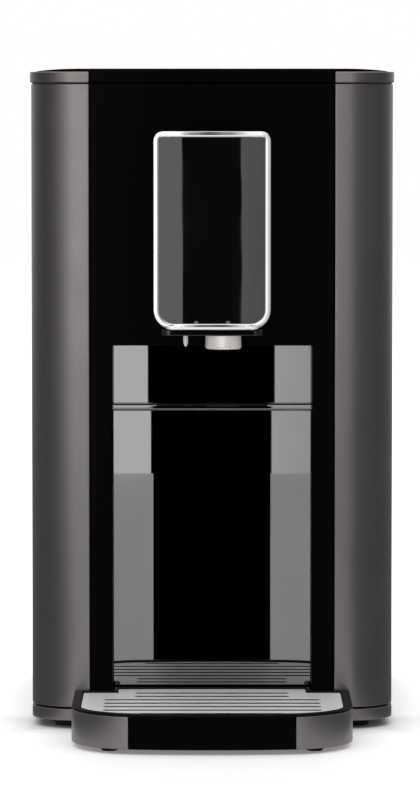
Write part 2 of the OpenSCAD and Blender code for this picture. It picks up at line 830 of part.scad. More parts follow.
module outlet_hose() color("whitesmoke") difference() {
    outlet_hose_solid(hose_r, 0);
    outlet_hose_solid(hose_bore_r, 1);
}

module heater_tube() color("silver") translate([spout_x, heater_y, 0]) difference() {
    rod_z(heater_r, heater_z, heater_top);
    rod_z(heater_r - heater_t, heater_z - 1, heater_top + 1);
}

// End cap with a plug into the tube and a hose barb, opening upwards at z = 0
module heater_cap() {
    rod_z(heater_r + 1.5, -heater_cap_h, 0);
    rod_z(heater_r - heater_t - fit, -1, plug_l);
    rod_z(barb_d / 2, -heater_cap_h - barb_l, -1);
}

module heater_caps() color("#e8e4da") translate([spout_x, heater_y, 0]) difference() {
    union() {
        translate([0, 0, heater_z]) heater_cap();
        translate([0, 0, heater_top]) mirror([0, 0, 1]) heater_cap();
    }
    rod_z(barb_bore / 2, heater_z - heater_cap_h - barb_l - 1, heater_z + plug_l + 1);
    rod_z(barb_bore / 2, heater_top - plug_l - 1, heater_barb_top + 1);
    translate([probe_x, 0, 0])
        rod_z(probe_d / 2 + fit, heater_top - plug_l - 1, heater_top + heater_cap_h + 1);
}

module thermal_cutouts() color("tan") for (z = [heater_z + cutout_in, heater_top - cutout_in])
    translate([spout_x, heater_y, z]) difference() {
        union() {
            translate([-cutout_w / 2, -heater_r - cutout_h / 4, -cutout_h / 2])
                cube([cutout_w, cutout_h / 2, cutout_h]);
            rod_y(cutout_w / 3, -heater_r - cutout_h * 0.7, -heater_r - 2);
        }
        rod_z(heater_r + fit, -cutout_h, cutout_h);
    }

module temperature_probe() color("goldenrod") translate([spout_x + probe_x, heater_y, 0]) {
    rod_z(probe_d / 2, heater_top - probe_l, heater_top + heater_cap_h + 1);
    rod_z(probe_d * 0.85, heater_top + heater_cap_h, heater_top + heater_cap_h + 1.25 * probe_d);
}

module pressure_hose() color("whitesmoke") translate([spout_x, heater_y, 0]) difference() {
    z0 = pump_z + volute_r + 1;
    z1 = heater_z - heater_cap_h - 0.5;
    rod_z(hose_r, z0, z1);
    rod_z(hose_bore_r, z0 - 1, z1 + 1);
}

module pump_volute() color("#30343a") difference() {
    union() {
        translate([pump_x, 0, pump_z]) rod_y(volute_r, volute_front, volute_back);
        translate([spout_x, pump_y, 0]) rod_z(barb_d / 2, pump_z, pump_z + volute_r + barb_l);
    }
    translate([pump_x, 0, pump_z]) {
        rod_y(cavity_r, volute_front + volute_t, volute_back + 1);
        rod_y(shaft_d / 2 + run, volute_front - 1, volute_back);
    }
    translate([spout_x, pump_y, 0]) rod_z(barb_bore / 2, pump_z, pump_z + volute_r + barb_l + 1);
}

module pump_cover() color("#3a3e44") translate([pump_x, 0, pump_z]) difference() {
    union() {
        rod_y(volute_r, volute_back, cover_back);
        rod_y(barb_d / 2, cover_back - 1, cover_back + barb_l);
    }
    rod_y(barb_bore / 2, volute_back - 1, cover_back + barb_l + 1);
}

module pump_impeller() color("ivory") translate([pump_x, 0, pump_z]) {
    disc_y = volute_front + volute_t + impeller_gap;
    blade_l = volute_l - volute_t - disc_t - 2.5 * impeller_gap;
    rod_y(cavity_r - impeller_gap, disc_y, disc_y + disc_t);
    rod_y(hub_r, disc_y, disc_y + disc_t + blade_l * 0.6);
    rod_y(shaft_d / 2, volute_front - shaft_l, disc_y + disc_t / 2);
    for (i = [0 : 5]) rotate([0, i * 60, 0]) translate([hub_r - 1, disc_y + disc_t / 2, -blade_t / 2])
        cube([cavity_r - impeller_gap - hub_r + 0.8, blade_l + disc_t / 2, blade_t]);
}

module pump_motor() color("silver") translate([pump_x, 0, pump_z]) difference() {
    rod_y(motor_r, volute_front - motor_l, volute_front);
    rod_y(shaft_d / 2 + run, volute_front - shaft_l - 1, volute_front + 1);
}

module hose_run(y0, y1) translate([pump_x, 0, pump_z]) difference() {
    rod_y(hose_r, y0, y1);
    rod_y(hose_bore_r, y0 - 1, y1 + 1);
}

module meter_hose() color("whitesmoke") hose_run(cover_back + 0.5, meter_y - meter_r - 0.5);

module suction_hose() color("whitesmoke") hose_run(meter_y + meter_r + 0.5, dock_y - cup_r - 0.5);

module flow_meter() color("#dcdcd4") translate([pump_x, meter_y, 0]) difference() {
    union() {
        rod_z(meter_r, meter_z, meter_top);
        rod_z(5, panel_z, meter_z + 1);
        translate([0, 0, pump_z]) rod_y(barb_d / 2, -meter_r - barb_l, meter_r + barb_l);
    }
    rod_z(meter_cavity, meter_z + 2.5, meter_top + 1);
    rod_z(axle_d / 2 + run, meter_z + 0.8, meter_top);
    translate([0, 0, pump_z]) rod_y(barb_bore / 2, -meter_r - barb_l - 1, meter_r + barb_l + 1);
}

module meter_cap() color("#c8c8c0") translate([pump_x, meter_y, 0]) difference() {
    rod_z(meter_r, meter_top, meter_top + 2.5);
    rod_z(axle_d / 2 + run, meter_top - 1, meter_top + 1.7);
}

module meter_rotor() color("orange") translate([pump_x, meter_y, 0]) {
    rod_z(axle_d / 2, meter_z + 0.9, meter_top + 1.6);
    rod_z(2.6, meter_z + 3, meter_top - 0.6);
    for (i = [0 : 5]) rotate([0, 0, i * 60])
        translate([1.5, -0.6, meter_z + 3.5]) cube([meter_cavity - 2.5, 1.2, meter_h - 5]);
}

module dock_socket() color("#26262a") translate([pump_x, dock_y, 0]) {
    difference() {
        union() {
            rod_z(cup_r, cup_bottom, deck_top);
            rod_z(cup_r + socket_rim, deck_top - socket_flange, deck_top);
            translate([0, 0, pump_z]) rod_y(barb_d / 2, -cup_r - barb_l, -cup_r + 1);
        }
        rod_z(cup_r - cup_t, cup_floor, deck_top + 1);
        translate([0, 0, pump_z]) rod_y(barb_bore / 2, -cup_r - barb_l - 1, 0);
    }
    rod_z(stem_d / 2, cup_floor - 1, nub_z - 0.2);
}

module dock_seal() color("tomato") translate([pump_x, dock_y, 0]) difference() {
    z = neck_bottom + 1.5 * seal_h;
    rod_z(neck_d / 2 + seal_t - fit / 2, z, z + seal_h);
    rod_z(neck_d / 2 + 0.3, z - 1, z + seal_h + 1);
}

module power_board() color("darkgreen") difference() {
    translate([board_x0, board_face, board_z0]) cube([board_x1 - board_x0, board_t, board_h]);
    for (p = board_places) translate([p.x, 0, p.y]) rod_y(board_boss_r / 2, board_face - 1, board_y + 1);
}

// Block standing on the power board's front face, from its lower left corner
module board_block(x, z, w, h, d) {
    translate([board_x0 + x, board_face - d, board_z0 + z]) cube([w, d, h]);
}

// Line filter, two relays, a finned heat sink and a capacitor
module board_parts() color("dimgray") {
    x = 2 * board_edge;
    board_block(x, board_edge + part_gap, filter_w, filter_h, filter_d);
    for (i = [0, 1]) board_block(x + i * (relay_w + part_gap / 3), relay_z, relay_w, relay_h, relay_d);
    board_block(x, sink_z, sink_w, sink_h, sink_t);
    for (i = [0 : 4]) board_block(x + i * (sink_w - fin_t) / 4, sink_z, fin_t, sink_h, sink_d);
    translate([board_x0 + x + filter_w + part_gap / 2 + capacitor_r, 0, board_z0 + relay_z - filter_h])
        rod_y(capacitor_r, board_face - capacitor_l, board_face);
}

module level_sensor() color("#2e2e32") translate([float_x - sensor_w / 2, bulk_y - sensor_d, float_z + 2])
    cube([sensor_w, sensor_d, sensor_h]);

module cord_gland() color("#161616") translate([-gland_x, 0, rear_z]) difference() {
    union() {
        rod_y(gland_bore / 2 + 2.6, rear_face - 12, rear_face + flange_out);
        rod_y(gland_bore / 2 + 5, rear_face, rear_face + flange_out);
    }
    rod_y(gland_bore / 2, rear_face - 13, rear_face + flange_out + 1);
}

module switch_housing() color("#161616") translate([switch_x, 0, rear_z]) difference() {
    w = rocker_w + 5;
    h = 2 * rocker_r + 4;
    union() {
        translate([-w / 2, rocker_y - rocker_r - 4, -h / 2])
            cube([w, rear_face - rocker_y + rocker_r + 4, h]);
        translate([-w / 2 - 1.5, rear_face, -h / 2 - 1.5]) cube([w + 3, flange_out, h + 3]);
    }
    translate([0, rocker_y, 0]) {
        rod_x(rocker_r + gap, -rocker_w / 2 - gap, rocker_w / 2 + gap);
        translate([-rocker_w / 2 - gap, 0, -rocker_r - gap])
            cube([rocker_w + 2 * gap, 3 * rocker_r, 2 * rocker_r + 2 * gap]);
        rod_x(1.5 + run, -w / 2 - 1, w / 2 + 1);
    }
}

// Rocker with its upper half pressed in; its two faces meet in a shallow valley
module power_rocker() color("#1a1a1a") translate([switch_x, rocker_y, rear_z]) {
    rod_x(1.5, -rocker_w / 2 - 2, rocker_w / 2 + 2);
    rotate([rocker_turn / 2, 0, 0]) difference() {
        rod_x(rocker_r, -rocker_w / 2, rocker_w / 2);
        for (a = [-1, 1]) translate([0, 4.2, 0]) rotate([a * 12, 0, 0])
            translate([-rocker_w, 0, a > 0 ? -3 * rocker_r : 0])
                cube([2 * rocker_w, 3 * rocker_r, 3 * rocker_r]);
    }
}

module case_screws() color("silver") {
    base_screw_places() screw();
    head_screw_places() screw();
}

// Tray outline: straight sides, round corners and a bowed front that meet smoothly
module tray_main(inset = 0) {
    r = tray_r - inset;
    bow = tray_bow_r - inset;
    px = tray_cx * bow / (bow - r);
    w = tray_w - 2 * inset;
    translate([-w / 2, tray_cy]) square([w, tray_back - inset - tray_cy]);
    for (s = [-1, 1]) translate([s * tray_cx, tray_cy]) circle(r = r);
    intersection() {
        translate([0, bow_cy]) circle(r = bow, $fn = 360);
        translate([-px, tray_front - 1]) square([2 * px, tray_cy - tray_front + 2]);
    }
}

// Part of the tray that reaches into the niche
module tray_tongue(inset = 0) {
    w = tongue_w - 2 * inset;
    translate([-w / 2, tray_back - tray_r / 2]) square([w, tongue_back - inset - tray_back + tray_r / 2]);
}

module inlay_plan() intersection() {
    difference() {
        tray_main();
        tray_main(inlay_t);
    }
    translate([-inlay_w / 2, tray_front - 1]) square([inlay_w, tray_r]);
}

module tray_skirt() color("gray") raise(tray_bottom, skirt_top) difference() {
    tray_main();
    tray_main(skirt_t);
    strip(tray_back - skirt_t - 0.1, tray_back + 1);
    inlay_plan();
}

module tray_inlay() color("#101012") raise(tray_bottom, skirt_top) inlay_plan();

module drip_basin() color("#1a1a1c") {
    difference() {
        union() {
            raise(tray_bottom, tray_top) tray_main(basin_in);
            raise(tongue_bottom, tray_top) tray_tongue();
            raise(skirt_top, tray_top) tray_main(fit);
        }
        raise(tray_bottom + basin_floor, tray_top + 1) tray_main(basin_in + basin_t);
        raise(tongue_bottom + basin_floor, tray_top + 1) tray_tongue(basin_t);
    }
    raise(ledge_z - 1.2, ledge_z) difference() {
        union() {
            tray_main(basin_in + basin_t / 2);
            tray_tongue(basin_t / 2);
        }
        tray_main(basin_in + basin_t + ledge_w);
        tray_tongue(basin_t + ledge_w);
    }
}

module tray_feet() color("#202020") for (x = [-1, 1])
    translate([x * tray_foot_x, tray_front + tray_r * 0.56, 0]) rod_z(tray_foot_d / 2, 0, tray_bottom);

module slot(l) {
    square([l - slot_w, slot_w], center = true);
    for (s = [-1, 1]) translate([s * (l - slot_w) / 2, 0]) circle(d = slot_w);
}

// Longest slot that leaves a margin at the plate's rounded front
function slot_room(y) = y - slot_w > tray_cy ? slot_l
    : 2 * (tray_cx + sqrt(max(0, pow(tray_r - grid_in - 5, 2) - pow(tray_cy - y + slot_w / 2, 2))));

module drip_grid() color("gainsboro") raise(ledge_z, ledge_z + grid_t) difference() {
    union() {
        tray_main(grid_in);
        tray_tongue(basin_t + gap);
    }
    for (i = [0 : slot_count - 1]) {
        y = tray_front + slot_first + i * slot_pitch;
        translate([0, y]) slot(min(y > tray_back - 2 * slot_pitch ? slot_short : slot_l, slot_room(y)));
    }
}

module water_tank() color("#6a7278", 0.6) difference() {
    union() {
        raise(deck_top, tank_top) tank_plan();
        for (s = [-1, 1]) translate([s * lug_x - lug_w / 2, 0, 0]) {
            translate([0, pin_y, pin_z]) rod_x(barrel_r, 0, lug_w);
            translate([0, tank_back - tank_t, tank_top - 4]) cube([lug_w, tank_t, pin_z - tank_top + 4]);
        }
    }
    difference() {
        raise(floor_z, tank_top + 1) tank_plan(tank_t);
        translate([float_x, float_y, 0]) {
            rod_z(post_d / 2, floor_z - 1, post_top + 1);
            rod_z(post_d / 2 + 2, floor_z - 1, float_z - gap);
            rod_z(post_d / 2 + 1.8, post_top, post_top + 2);
        }
    }
    translate([pump_x, dock_y, 0]) rod_z(neck_d / 2 + fit, deck_top - 1, floor_z + 1);
    translate([0, pin_y, pin_z]) rod_x(pin_d / 2 + 0.02, -half_w, half_w);
}

module hinge_pin() color("silver") translate([0, pin_y, pin_z])
    rod_x(pin_d / 2, -lug_x - lug_w / 2 - 6, lug_x + lug_w / 2 + 6);

module tank_lid() color("#141416") difference() {
    union() {
        intersection() {
            raise(cap_z, crown_z) intersection() {
                body_plan();
                strip(lid_front, pin_y);
            }
            along_y(lid_front - 1, pin_y + 1) crown_profile();
        }
        translate([0, pin_y, pin_z]) rod_x(barrel_r, -half_w + corner_r, half_w - corner_r);
    }
    translate([0, pin_y, pin_z]) rod_x(pin_d / 2 + run, -half_w, half_w);
    for (s = [-1, 1]) translate([s * lug_x - lug_w / 2 - gap, pin_y - barrel_r - 1, cap_z - 1])
        cube([lug_w + 2 * gap, 2 * barrel_r + 2, cap_h + crown_h + 2]);
    raise(cap_z - 1, cap_top - 2.4) round_box(tank_w - 4 * tank_t - 4 * gasket_t,
        tank_front + 2 * tank_t + 2 * gasket_t, pin_y - barrel_r - 4, 6, 6);
}

module lid_gasket() color("#d8d8d8") raise(tank_top - gasket_h, cap_z) difference() {
    tank_plan(tank_t + 2 * gap);
    tank_plan(tank_t + 2 * gap + gasket_t);
    strip(pin_y - barrel_r - 1, rear_y);
}

module valve_seat() color("#e4e4e0") translate([pump_x, dock_y, 0]) difference() {
    union() {
        rod_z(neck_d / 2, neck_bottom, valve_flange_top);
        rod_z(flange_d / 2, floor_z, valve_flange_top);
    }
    rod_z(port_d / 2, neck_bottom - 1, valve_flange_top);
    rod_z(valve_bore / 2, seat_z, valve_flange_top + 1);
}

module strainer() color("#b8bcc0") translate([pump_x, dock_y, 0]) difference() {
    rod_z(flange_d / 2 - 1, valve_flange_top, strainer_top + 2);
    rod_z(flange_d / 2 - 2.6, valve_flange_top - 1, strainer_top);
    rod_z(stem_d / 2 + run, strainer_top - 1, strainer_top + 3);
    for (i = [0 : 3]) rotate([0, 0, i * 45]) translate([-flange_d / 2, -2, valve_flange_top + 1.2])
        cube([flange_d, 4, strainer_h - 2.4]);
}

module valve_poppet() color("#3a3a3e") translate([pump_x, dock_y, 0]) {
    rod_z(stem_d / 2, nub_z, strainer_top + 2 + valve_stroke);
    rod_z(valve_bore / 2 - 1.6, seal_z, disc_z);
    rod_z(valve_bore / 2 - 0.6, disc_z, disc_top);
}

// Points and faces of the coil: rings of six along a helix, closed at both ends
spring_z0 = disc_top + wire_d / 2 + 0.05;
spring_z1 = strainer_top - wire_d / 2 - 0.05;
spring_rings = 8 * spring_turns;
function helix(i) = [spring_r * cos(i * 45), spring_r * sin(i * 45),
    spring_z0 + (spring_z1 - spring_z0) * i / spring_rings];
function ring_point(i, k) = let (c = helix(i), a = k * 60, e = spring_r + wire_d / 2 * cos(a))
    [e * cos(i * 45), e * sin(i * 45), c.z + wire_d / 2 * sin(a)];
spring_points = [for (i = [0 : spring_rings], k = [0 : 5]) ring_point(i, k)];
spring_side = [for (i = [0 : spring_rings - 1], k = [0 : 5]) let (a = i * 6 + k, b = i * 6 + (k + 1) % 6)
    each [[a, a + 6, b], [b, a + 6, b + 6]]];
spring_ends = [for (k = [1 : 4]) each [[0, k, k + 1],
    [6 * spring_rings, 6 * spring_rings + k + 1, 6 * spring_rings + k]]];
spring_gap = min([for (i = [0 : spring_rings - 7], j = [i + 7 : min(i + 9, spring_rings)])
    norm(helix(i) - helix(j))]) - wire_d;
echo(spring_gap = spring_gap);

module valve_spring() color("silver") translate([pump_x, dock_y, 0])
    polyhedron(points = spring_points, faces = concat(spring_side, spring_ends));

module level_float() color("orange") translate([float_x, float_y, 0]) difference() {
    rod_z(float_d / 2, float_z, float_z + float_h);
    rod_z(post_d / 2 + gap, float_z - 1, float_z + float_h + 1);
}

base_pan();
base_feet();
left_side_panel();
right_side_panel();
front_panel();
niche_liner();
niche_mirror();
niche_bead();
rear_bulkhead();
rear_panel();
tank_deck();
top_cover();
left_cap_trim();
right_cap_trim();
head_shell();
head_bezel();
display_glass();
display_board();
spout_block();
spout();
vent_pin();
outlet_chamber();
outlet_hose();
heater_tube();
heater_caps();
thermal_cutouts();
temperature_probe();
pressure_hose();
pump_volute();
pump_cover();
pump_impeller();
pump_motor();
meter_hose();
flow_meter();
meter_rotor();
meter_cap();
suction_hose();
dock_socket();
dock_seal();
power_board();
board_parts();
level_sensor();
cord_gland();
switch_housing();
power_rocker();
case_screws();
tray_skirt();
tray_inlay();
drip_basin();
tray_feet();
drip_grid();
water_tank();
hinge_pin();
tank_lid();
lid_gasket();
valve_seat();
strainer();
valve_poppet();
valve_spring();
level_float();
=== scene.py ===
import json
import math

import bmesh
import bpy
from mathutils import Matrix, Vector
from mathutils.bvhtree import BVHTree


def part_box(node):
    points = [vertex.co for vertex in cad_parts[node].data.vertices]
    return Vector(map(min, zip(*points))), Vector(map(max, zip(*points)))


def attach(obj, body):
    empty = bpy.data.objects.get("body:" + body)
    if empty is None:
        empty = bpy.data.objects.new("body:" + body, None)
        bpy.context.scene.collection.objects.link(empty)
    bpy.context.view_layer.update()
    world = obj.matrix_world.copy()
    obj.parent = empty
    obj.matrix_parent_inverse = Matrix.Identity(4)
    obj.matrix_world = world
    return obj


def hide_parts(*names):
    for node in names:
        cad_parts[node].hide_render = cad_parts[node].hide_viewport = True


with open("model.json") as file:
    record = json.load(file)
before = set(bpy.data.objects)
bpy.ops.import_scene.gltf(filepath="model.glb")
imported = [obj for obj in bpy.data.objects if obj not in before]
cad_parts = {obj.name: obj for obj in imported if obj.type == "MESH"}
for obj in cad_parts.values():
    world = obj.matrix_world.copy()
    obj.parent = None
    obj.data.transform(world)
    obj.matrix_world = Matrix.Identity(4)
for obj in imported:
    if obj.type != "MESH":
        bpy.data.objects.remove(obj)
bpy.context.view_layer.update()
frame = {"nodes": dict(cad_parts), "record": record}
record = frame["record"]
mm = 0.001
slotOf = {part["node"]: part["material_slot"] for part in record["subparts"]}
bodyOf = {node: body for body, nodes in record["behaviour"]["bodies"].items() for node in nodes}


def low(node):
    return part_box(node)[0] / mm


def high(node):
    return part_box(node)[1] / mm


# Node helpers

white = (1, 1, 1, 1)


def addNode(tree, kind, inputs=None, **settings):
    # An output among the inputs is linked, and a list of outputs one after the other
    node = tree.nodes.new(kind)
    for key, value in settings.items():
        setattr(node, key, value)
    for key, value in (inputs or {}).items():
        sources = value if isinstance(value, list) else [value]
        if isinstance(sources[0], bpy.types.NodeSocket):
            for source in sources:
                tree.links.new(source, node.inputs[key])
        else:
            node.inputs[key].default_value = value
    return node


def newFinish(name, look):
    finish = bpy.data.materials.new(name)
    finish.use_nodes = True
    shader = finish.node_tree.nodes["Principled BSDF"]
    for socket, value in look.items():
        shader.inputs[socket].default_value = (*value, 1) if isinstance(value, tuple) else value
    return finish, finish.node_tree, shader


def objectSpace(tree, stretch=(1, 1, 1), turn=(0, 0, 0)):
    coords = addNode(tree, "ShaderNodeTexCoord")
    mapping = addNode(tree, "ShaderNodeMapping",
        {"Vector": coords.outputs["Object"], "Scale": stretch, "Rotation": turn})
    return mapping.outputs["Vector"]


def axesOf(tree, vector):
    return addNode(tree, "ShaderNodeSeparateXYZ", {"Vector": vector}).outputs


def noise(tree, scale, detail, rough=0.55, stretch=(1, 1, 1)):
    node = addNode(tree, "ShaderNodeTexNoise", {"Vector": objectSpace(tree, stretch), "Scale": scale,
        "Detail": detail, "Roughness": rough})
    return node.outputs["Fac"]


def spread(tree, value, start, end, fromStart=0.3, fromEnd=0.7):
    node = addNode(tree, "ShaderNodeMapRange", {"Value": value, "From Min": fromStart, "From Max": fromEnd,
        "To Min": start, "To Max": end})
    return node.outputs["Result"]


def maths(tree, operation, *values, clamp=False):
    node = addNode(tree, "ShaderNodeMath", dict(enumerate(values)), operation=operation, use_clamp=clamp)
    return node.outputs[0]


def shade(tree, factor, dark, light):
    # The colour sockets of this node can only be told apart by number
    node = addNode(tree, "ShaderNodeMix", {0: factor, 6: (*dark, 1), 7: (*light, 1)}, data_type="RGBA")
    return node.outputs[2]


def relief(tree, shader, height, depth):
    node = addNode(tree, "ShaderNodeBump", {"Height": height, "Strength": 1.0, "Distance": depth * mm})
    tree.links.new(node.outputs["Normal"], shader.inputs["Normal"])


# Finishes: a look, then a pattern with two colours, two roughnesses and a depth

patterns = {
    "flakes": {"scale": 2600, "detail": 2},
    "paintHaze": {"scale": 45, "detail": 4},
    "cloud": {"scale": 30, "detail": 5},
    "ripple": {"scale": 220, "detail": 2},
    "smear": {"scale": 60, "detail": 4},
    "mirrorSmear": {"scale": 24, "detail": 5},
    "grain": {"scale": 1500, "detail": 2},
    "trimHaze": {"scale": 90, "detail": 4},
    "glassSmear": {"scale": 35, "detail": 5},
    "glassWave": {"scale": 60, "detail": 1, "stretch": (1, 1, 0.35)},
    "brushedAcross": {"scale": 2400, "detail": 4, "rough": 0.7, "stretch": (0.02, 1, 1)},
    "brushedUp": {"scale": 1500, "detail": 4, "rough": 0.7, "stretch": (1, 1, 0.03)},
    "dust": {"scale": 300, "detail": 5},
    "rubberGrain": {"scale": 1800, "detail": 2},
    "milk": {"scale": 120, "detail": 4},
    "film": {"scale": 18, "detail": 5},
    "streaks": {"scale": 140, "detail": 4},
    "mouldGrain": {"scale": 1700, "detail": 2},
    "turned": {"scale": 1900, "detail": 3, "stretch": (1, 1, 0.05)},
}
plastic = {"shine": 0.45, "roughSpread": 0.06, "depth": 0.02}


def moulded(dark, light, rough):
    return {
        "look": {"Base Color": light, "Roughness": rough, "Specular IOR Level": plastic["shine"]},
        "colour": ("streaks", dark, light),
        "rough": ("mouldGrain", rough - plastic["roughSpread"], rough + plastic["roughSpread"]),
        "bump": ("mouldGrain", plastic["depth"]),
    }


finishRows = {
    "satin_grey": {
        "look": {"Base Color": (0.25, 0.236, 0.233), "Metallic": 1.0, "Roughness": 0.3},
        "colour": ("flakes", (0.225, 0.212, 0.209), (0.275, 0.26, 0.257)),
        "rough": ("paintHaze", 0.285, 0.335),
        "bump": ("flakes", 0.004),
    },
    "gloss_black": {
        "look": {"Base Color": (0.0015, 0.0015, 0.0017), "Roughness": 0.12, "Specular IOR Level": 0.02},
        "colour": ("cloud", (0.001, 0.001, 0.0012), (0.002, 0.002, 0.0022)),
        "rough": ("cloud", 0.11, 0.19),
        "bump": ("ripple", 0.006),
    },
    "dark_mirror": {
        "look": {"Base Color": (0.225, 0.216, 0.225), "Metallic": 1.0, "Roughness": 0.008},
        "colour": ("mirrorSmear", (0.213, 0.205, 0.213), (0.237, 0.228, 0.237)),
        "rough": ("mirrorSmear", 0.004, 0.012),
    },
    "satin_black": {
        "look": {"Base Color": (0.014, 0.014, 0.015), "Roughness": 0.5, "Specular IOR Level": 0.15},
        "colour": ("smear", (0.011, 0.011, 0.012), (0.018, 0.018, 0.019)),
        "rough": ("grain", 0.4, 0.54),
        "bump": ("grain", 0.03),
    },
    "bright_trim": {
        "look": {"Base Color": (0.88, 0.88, 0.89), "Metallic": 1.0, "Roughness": 0.08},
        "colour": ("trimHaze", (0.85, 0.85, 0.86), (0.91, 0.91, 0.92)),
        "rough": ("trimHaze", 0.05, 0.12),
    },
    "display_glass": {
        "look": {"Base Color": (0.003, 0.003, 0.0035), "Roughness": 0.03, "Specular IOR Level": 0.7},
        "colour": ("glassSmear", (0.0025, 0.0025, 0.003), (0.004, 0.004, 0.0045)),
        "rough": ("glassSmear", 0.008, 0.025),
        "bump": ("glassWave", 0.012),
    },
    "brushed_steel": {
        "look": {"Base Color": (0.62, 0.61, 0.6), "Metallic": 1.0, "Roughness": 0.3},
        "colour": ("brushedAcross", (0.52, 0.51, 0.5), (0.72, 0.71, 0.7)),
        "rough": ("brushedAcross", 0.22, 0.38),
        "bump": ("brushedAcross", 0.004),
    },
    "rubber": {
        "look": {"Base Color": (0.018, 0.018, 0.018), "Roughness": 0.75, "Specular IOR Level": 0.3},
        "colour": ("dust", (0.013, 0.013, 0.013), (0.03, 0.03, 0.029)),
        "rough": ("dust", 0.65, 0.85),
        "bump": ("rubberGrain", 0.03),
    },
    "silicone": {
        "look": {"Base Color": (0.62, 0.62, 0.6), "Roughness": 0.4, "Subsurface Weight": 0.25,
            "Subsurface Scale": 0.004},
        "colour": ("milk", (0.55, 0.55, 0.53), (0.68, 0.68, 0.66)),
        "rough": ("milk", 0.34, 0.46),
    },
    "smoke_clear": {
        "look": {"Base Color": (0.46, 0.49, 0.51), "Roughness": 0.02, "IOR": 1.49,
            "Transmission Weight": 0.95},
        "colour": ("film", (0.43, 0.46, 0.48), (0.49, 0.52, 0.54)),
        "rough": ("film", 0.01, 0.03),
    },
    "pale_plastic": moulded((0.5, 0.49, 0.45), (0.6, 0.59, 0.55), 0.42),
    "grey_plastic": moulded((0.06, 0.064, 0.07), (0.085, 0.09, 0.098), 0.45),
    "orange_plastic": moulded((0.55, 0.16, 0.02), (0.68, 0.22, 0.03), 0.4),
    "brass": {
        "look": {"Base Color": (0.62, 0.44, 0.18), "Metallic": 1.0, "Roughness": 0.28},
        "colour": ("turned", (0.52, 0.36, 0.14), (0.7, 0.5, 0.22)),
        "rough": ("turned", 0.22, 0.36),
    },
    "touch_mark": moulded((0.1, 0.1, 0.1), (0.16, 0.16, 0.16), 0.4),
    # Lighter, less metallic copy of the brushed steel for the drip grid: painted light, brighter than the
    # lamps make the steel
    "grid_steel": {
        "look": {"Base Color": (0.88, 0.87, 0.86), "Metallic": 0.3, "Roughness": 0.4},
        "colour": ("brushedAcross", (0.82, 0.81, 0.8), (0.94, 0.93, 0.92)),
        "rough": ("brushedAcross", 0.34, 0.48),
        "bump": ("brushedAcross", 0.004),
    },
    # Lighter, less metallic copy of the brushed steel for the spout and vent pin: painted light, brighter
    # than the lamps make the steel under the head
    "spout_steel": {
        "look": {"Base Color": (0.9, 0.88, 0.84), "Metallic": 0.35, "Roughness": 0.3},
        "colour": ("brushedUp", (0.84, 0.82, 0.78), (0.95, 0.93, 0.89)),
        "rough": ("brushedUp", 0.24, 0.36),
    },
    "polished_black": {
        "look": {"Base Color": (0.003, 0.003, 0.0035), "Roughness": 0.03, "Specular IOR Level": 0.8},
        "colour": ("smear", (0.002, 0.002, 0.0025), (0.004, 0.004, 0.0045)),
        "rough": ("smear", 0.02, 0.06),
    },
    # Near-black finish for the grid's slot walls: painted shade in the slots
    "slot_wall": moulded((0.02, 0.02, 0.02), (0.035, 0.034, 0.033), 0.5),
    "basin_black": {
        "look": {"Base Color": (0.004, 0.004, 0.0045), "Roughness": 0.4, "Specular IOR Level": 0.06},
        "colour": ("smear", (0.003, 0.003, 0.0034), (0.0055, 0.0055, 0.006)),
        "rough": ("grain", 0.34, 0.46),
        "bump": ("grain", 0.02),
    },
}


def makeFinish(slot, row):
    first, *others = slot.split("_")
    finish, tree, shader = newFinish(first + "".join(word.capitalize() for word in others), row["look"])
    used = dict.fromkeys(row[key][0] for key in row if key != "look")
    made = {key: noise(tree, **patterns[key]) for key in used}
    key, dark, light = row["colour"]
    tree.links.new(shade(tree, made[key], dark, light), shader.inputs["Base Color"])
    key, start, end = row["rough"]
    tree.links.new(spread(tree, made[key], start, end), shader.inputs["Roughness"])
    if "bump" in row:
        key, depth = row["bump"]
        relief(tree, shader, made[key], depth)
    return finish


board = {"scale": 160.0, "line": 0.06, "depth": 0.03, "roughness": 0.35, "green": (0.02, 0.1, 0.04),
    "otherGreen": (0.022, 0.115, 0.047), "lineGreen": (0.045, 0.17, 0.07)}


def circuitBoard():
    look = {"Base Color": board["green"], "Roughness": board["roughness"]}
    finish, tree, shader = newFinish("circuitBoard", look)
    traces = addNode(tree, "ShaderNodeTexBrick", {"Vector": objectSpace(tree, turn=(math.pi / 2, 0, 0)),
        "Scale": board["scale"], "Mortar Size": board["line"], "Color1": (*board["green"], 1),
        "Color2": (*board["otherGreen"], 1), "Mortar": (*board["lineGreen"], 1)})
    tree.links.new(traces.outputs["Color"], shader.inputs["Base Color"])
    relief(tree, shader, traces.outputs["Fac"], board["depth"])
    return finish


finishes = {slot: makeFinish(slot, row) for slot, row in finishRows.items()}
finishes["circuit_board"] = circuitBoard()
print("finishes made:", len(finishes))


# Mesh helpers

edgeRules = {"creaseDeg": 38, "bevelDeg": 32, "fineBelow": 0.4, "fineSteps": 2, "steps": 3}
cleaning = {"merge": 0.002, "flatDeg": 0.6}


def smoothShade(mesh):
    mesh.polygons.foreach_set("use_smooth", [True] * len(mesh.polygons))
    mesh.set_sharp_from_angle(angle=math.radians(edgeRules["creaseDeg"]))


def settle(obj):
    graph = bpy.context.evaluated_depsgraph_get()
    plain = bpy.data.meshes.new_from_object(obj.evaluated_get(graph), depsgraph=graph)
    obj.modifiers.clear()
    obj.data = plain
    return obj


def objectFrom(name, bm):
    mesh = bpy.data.meshes.new(name)
    bm.to_mesh(mesh)
    bm.free()
    obj = bpy.data.objects.new(name, mesh)
    bpy.context.scene.collection.objects.link(obj)
    return obj


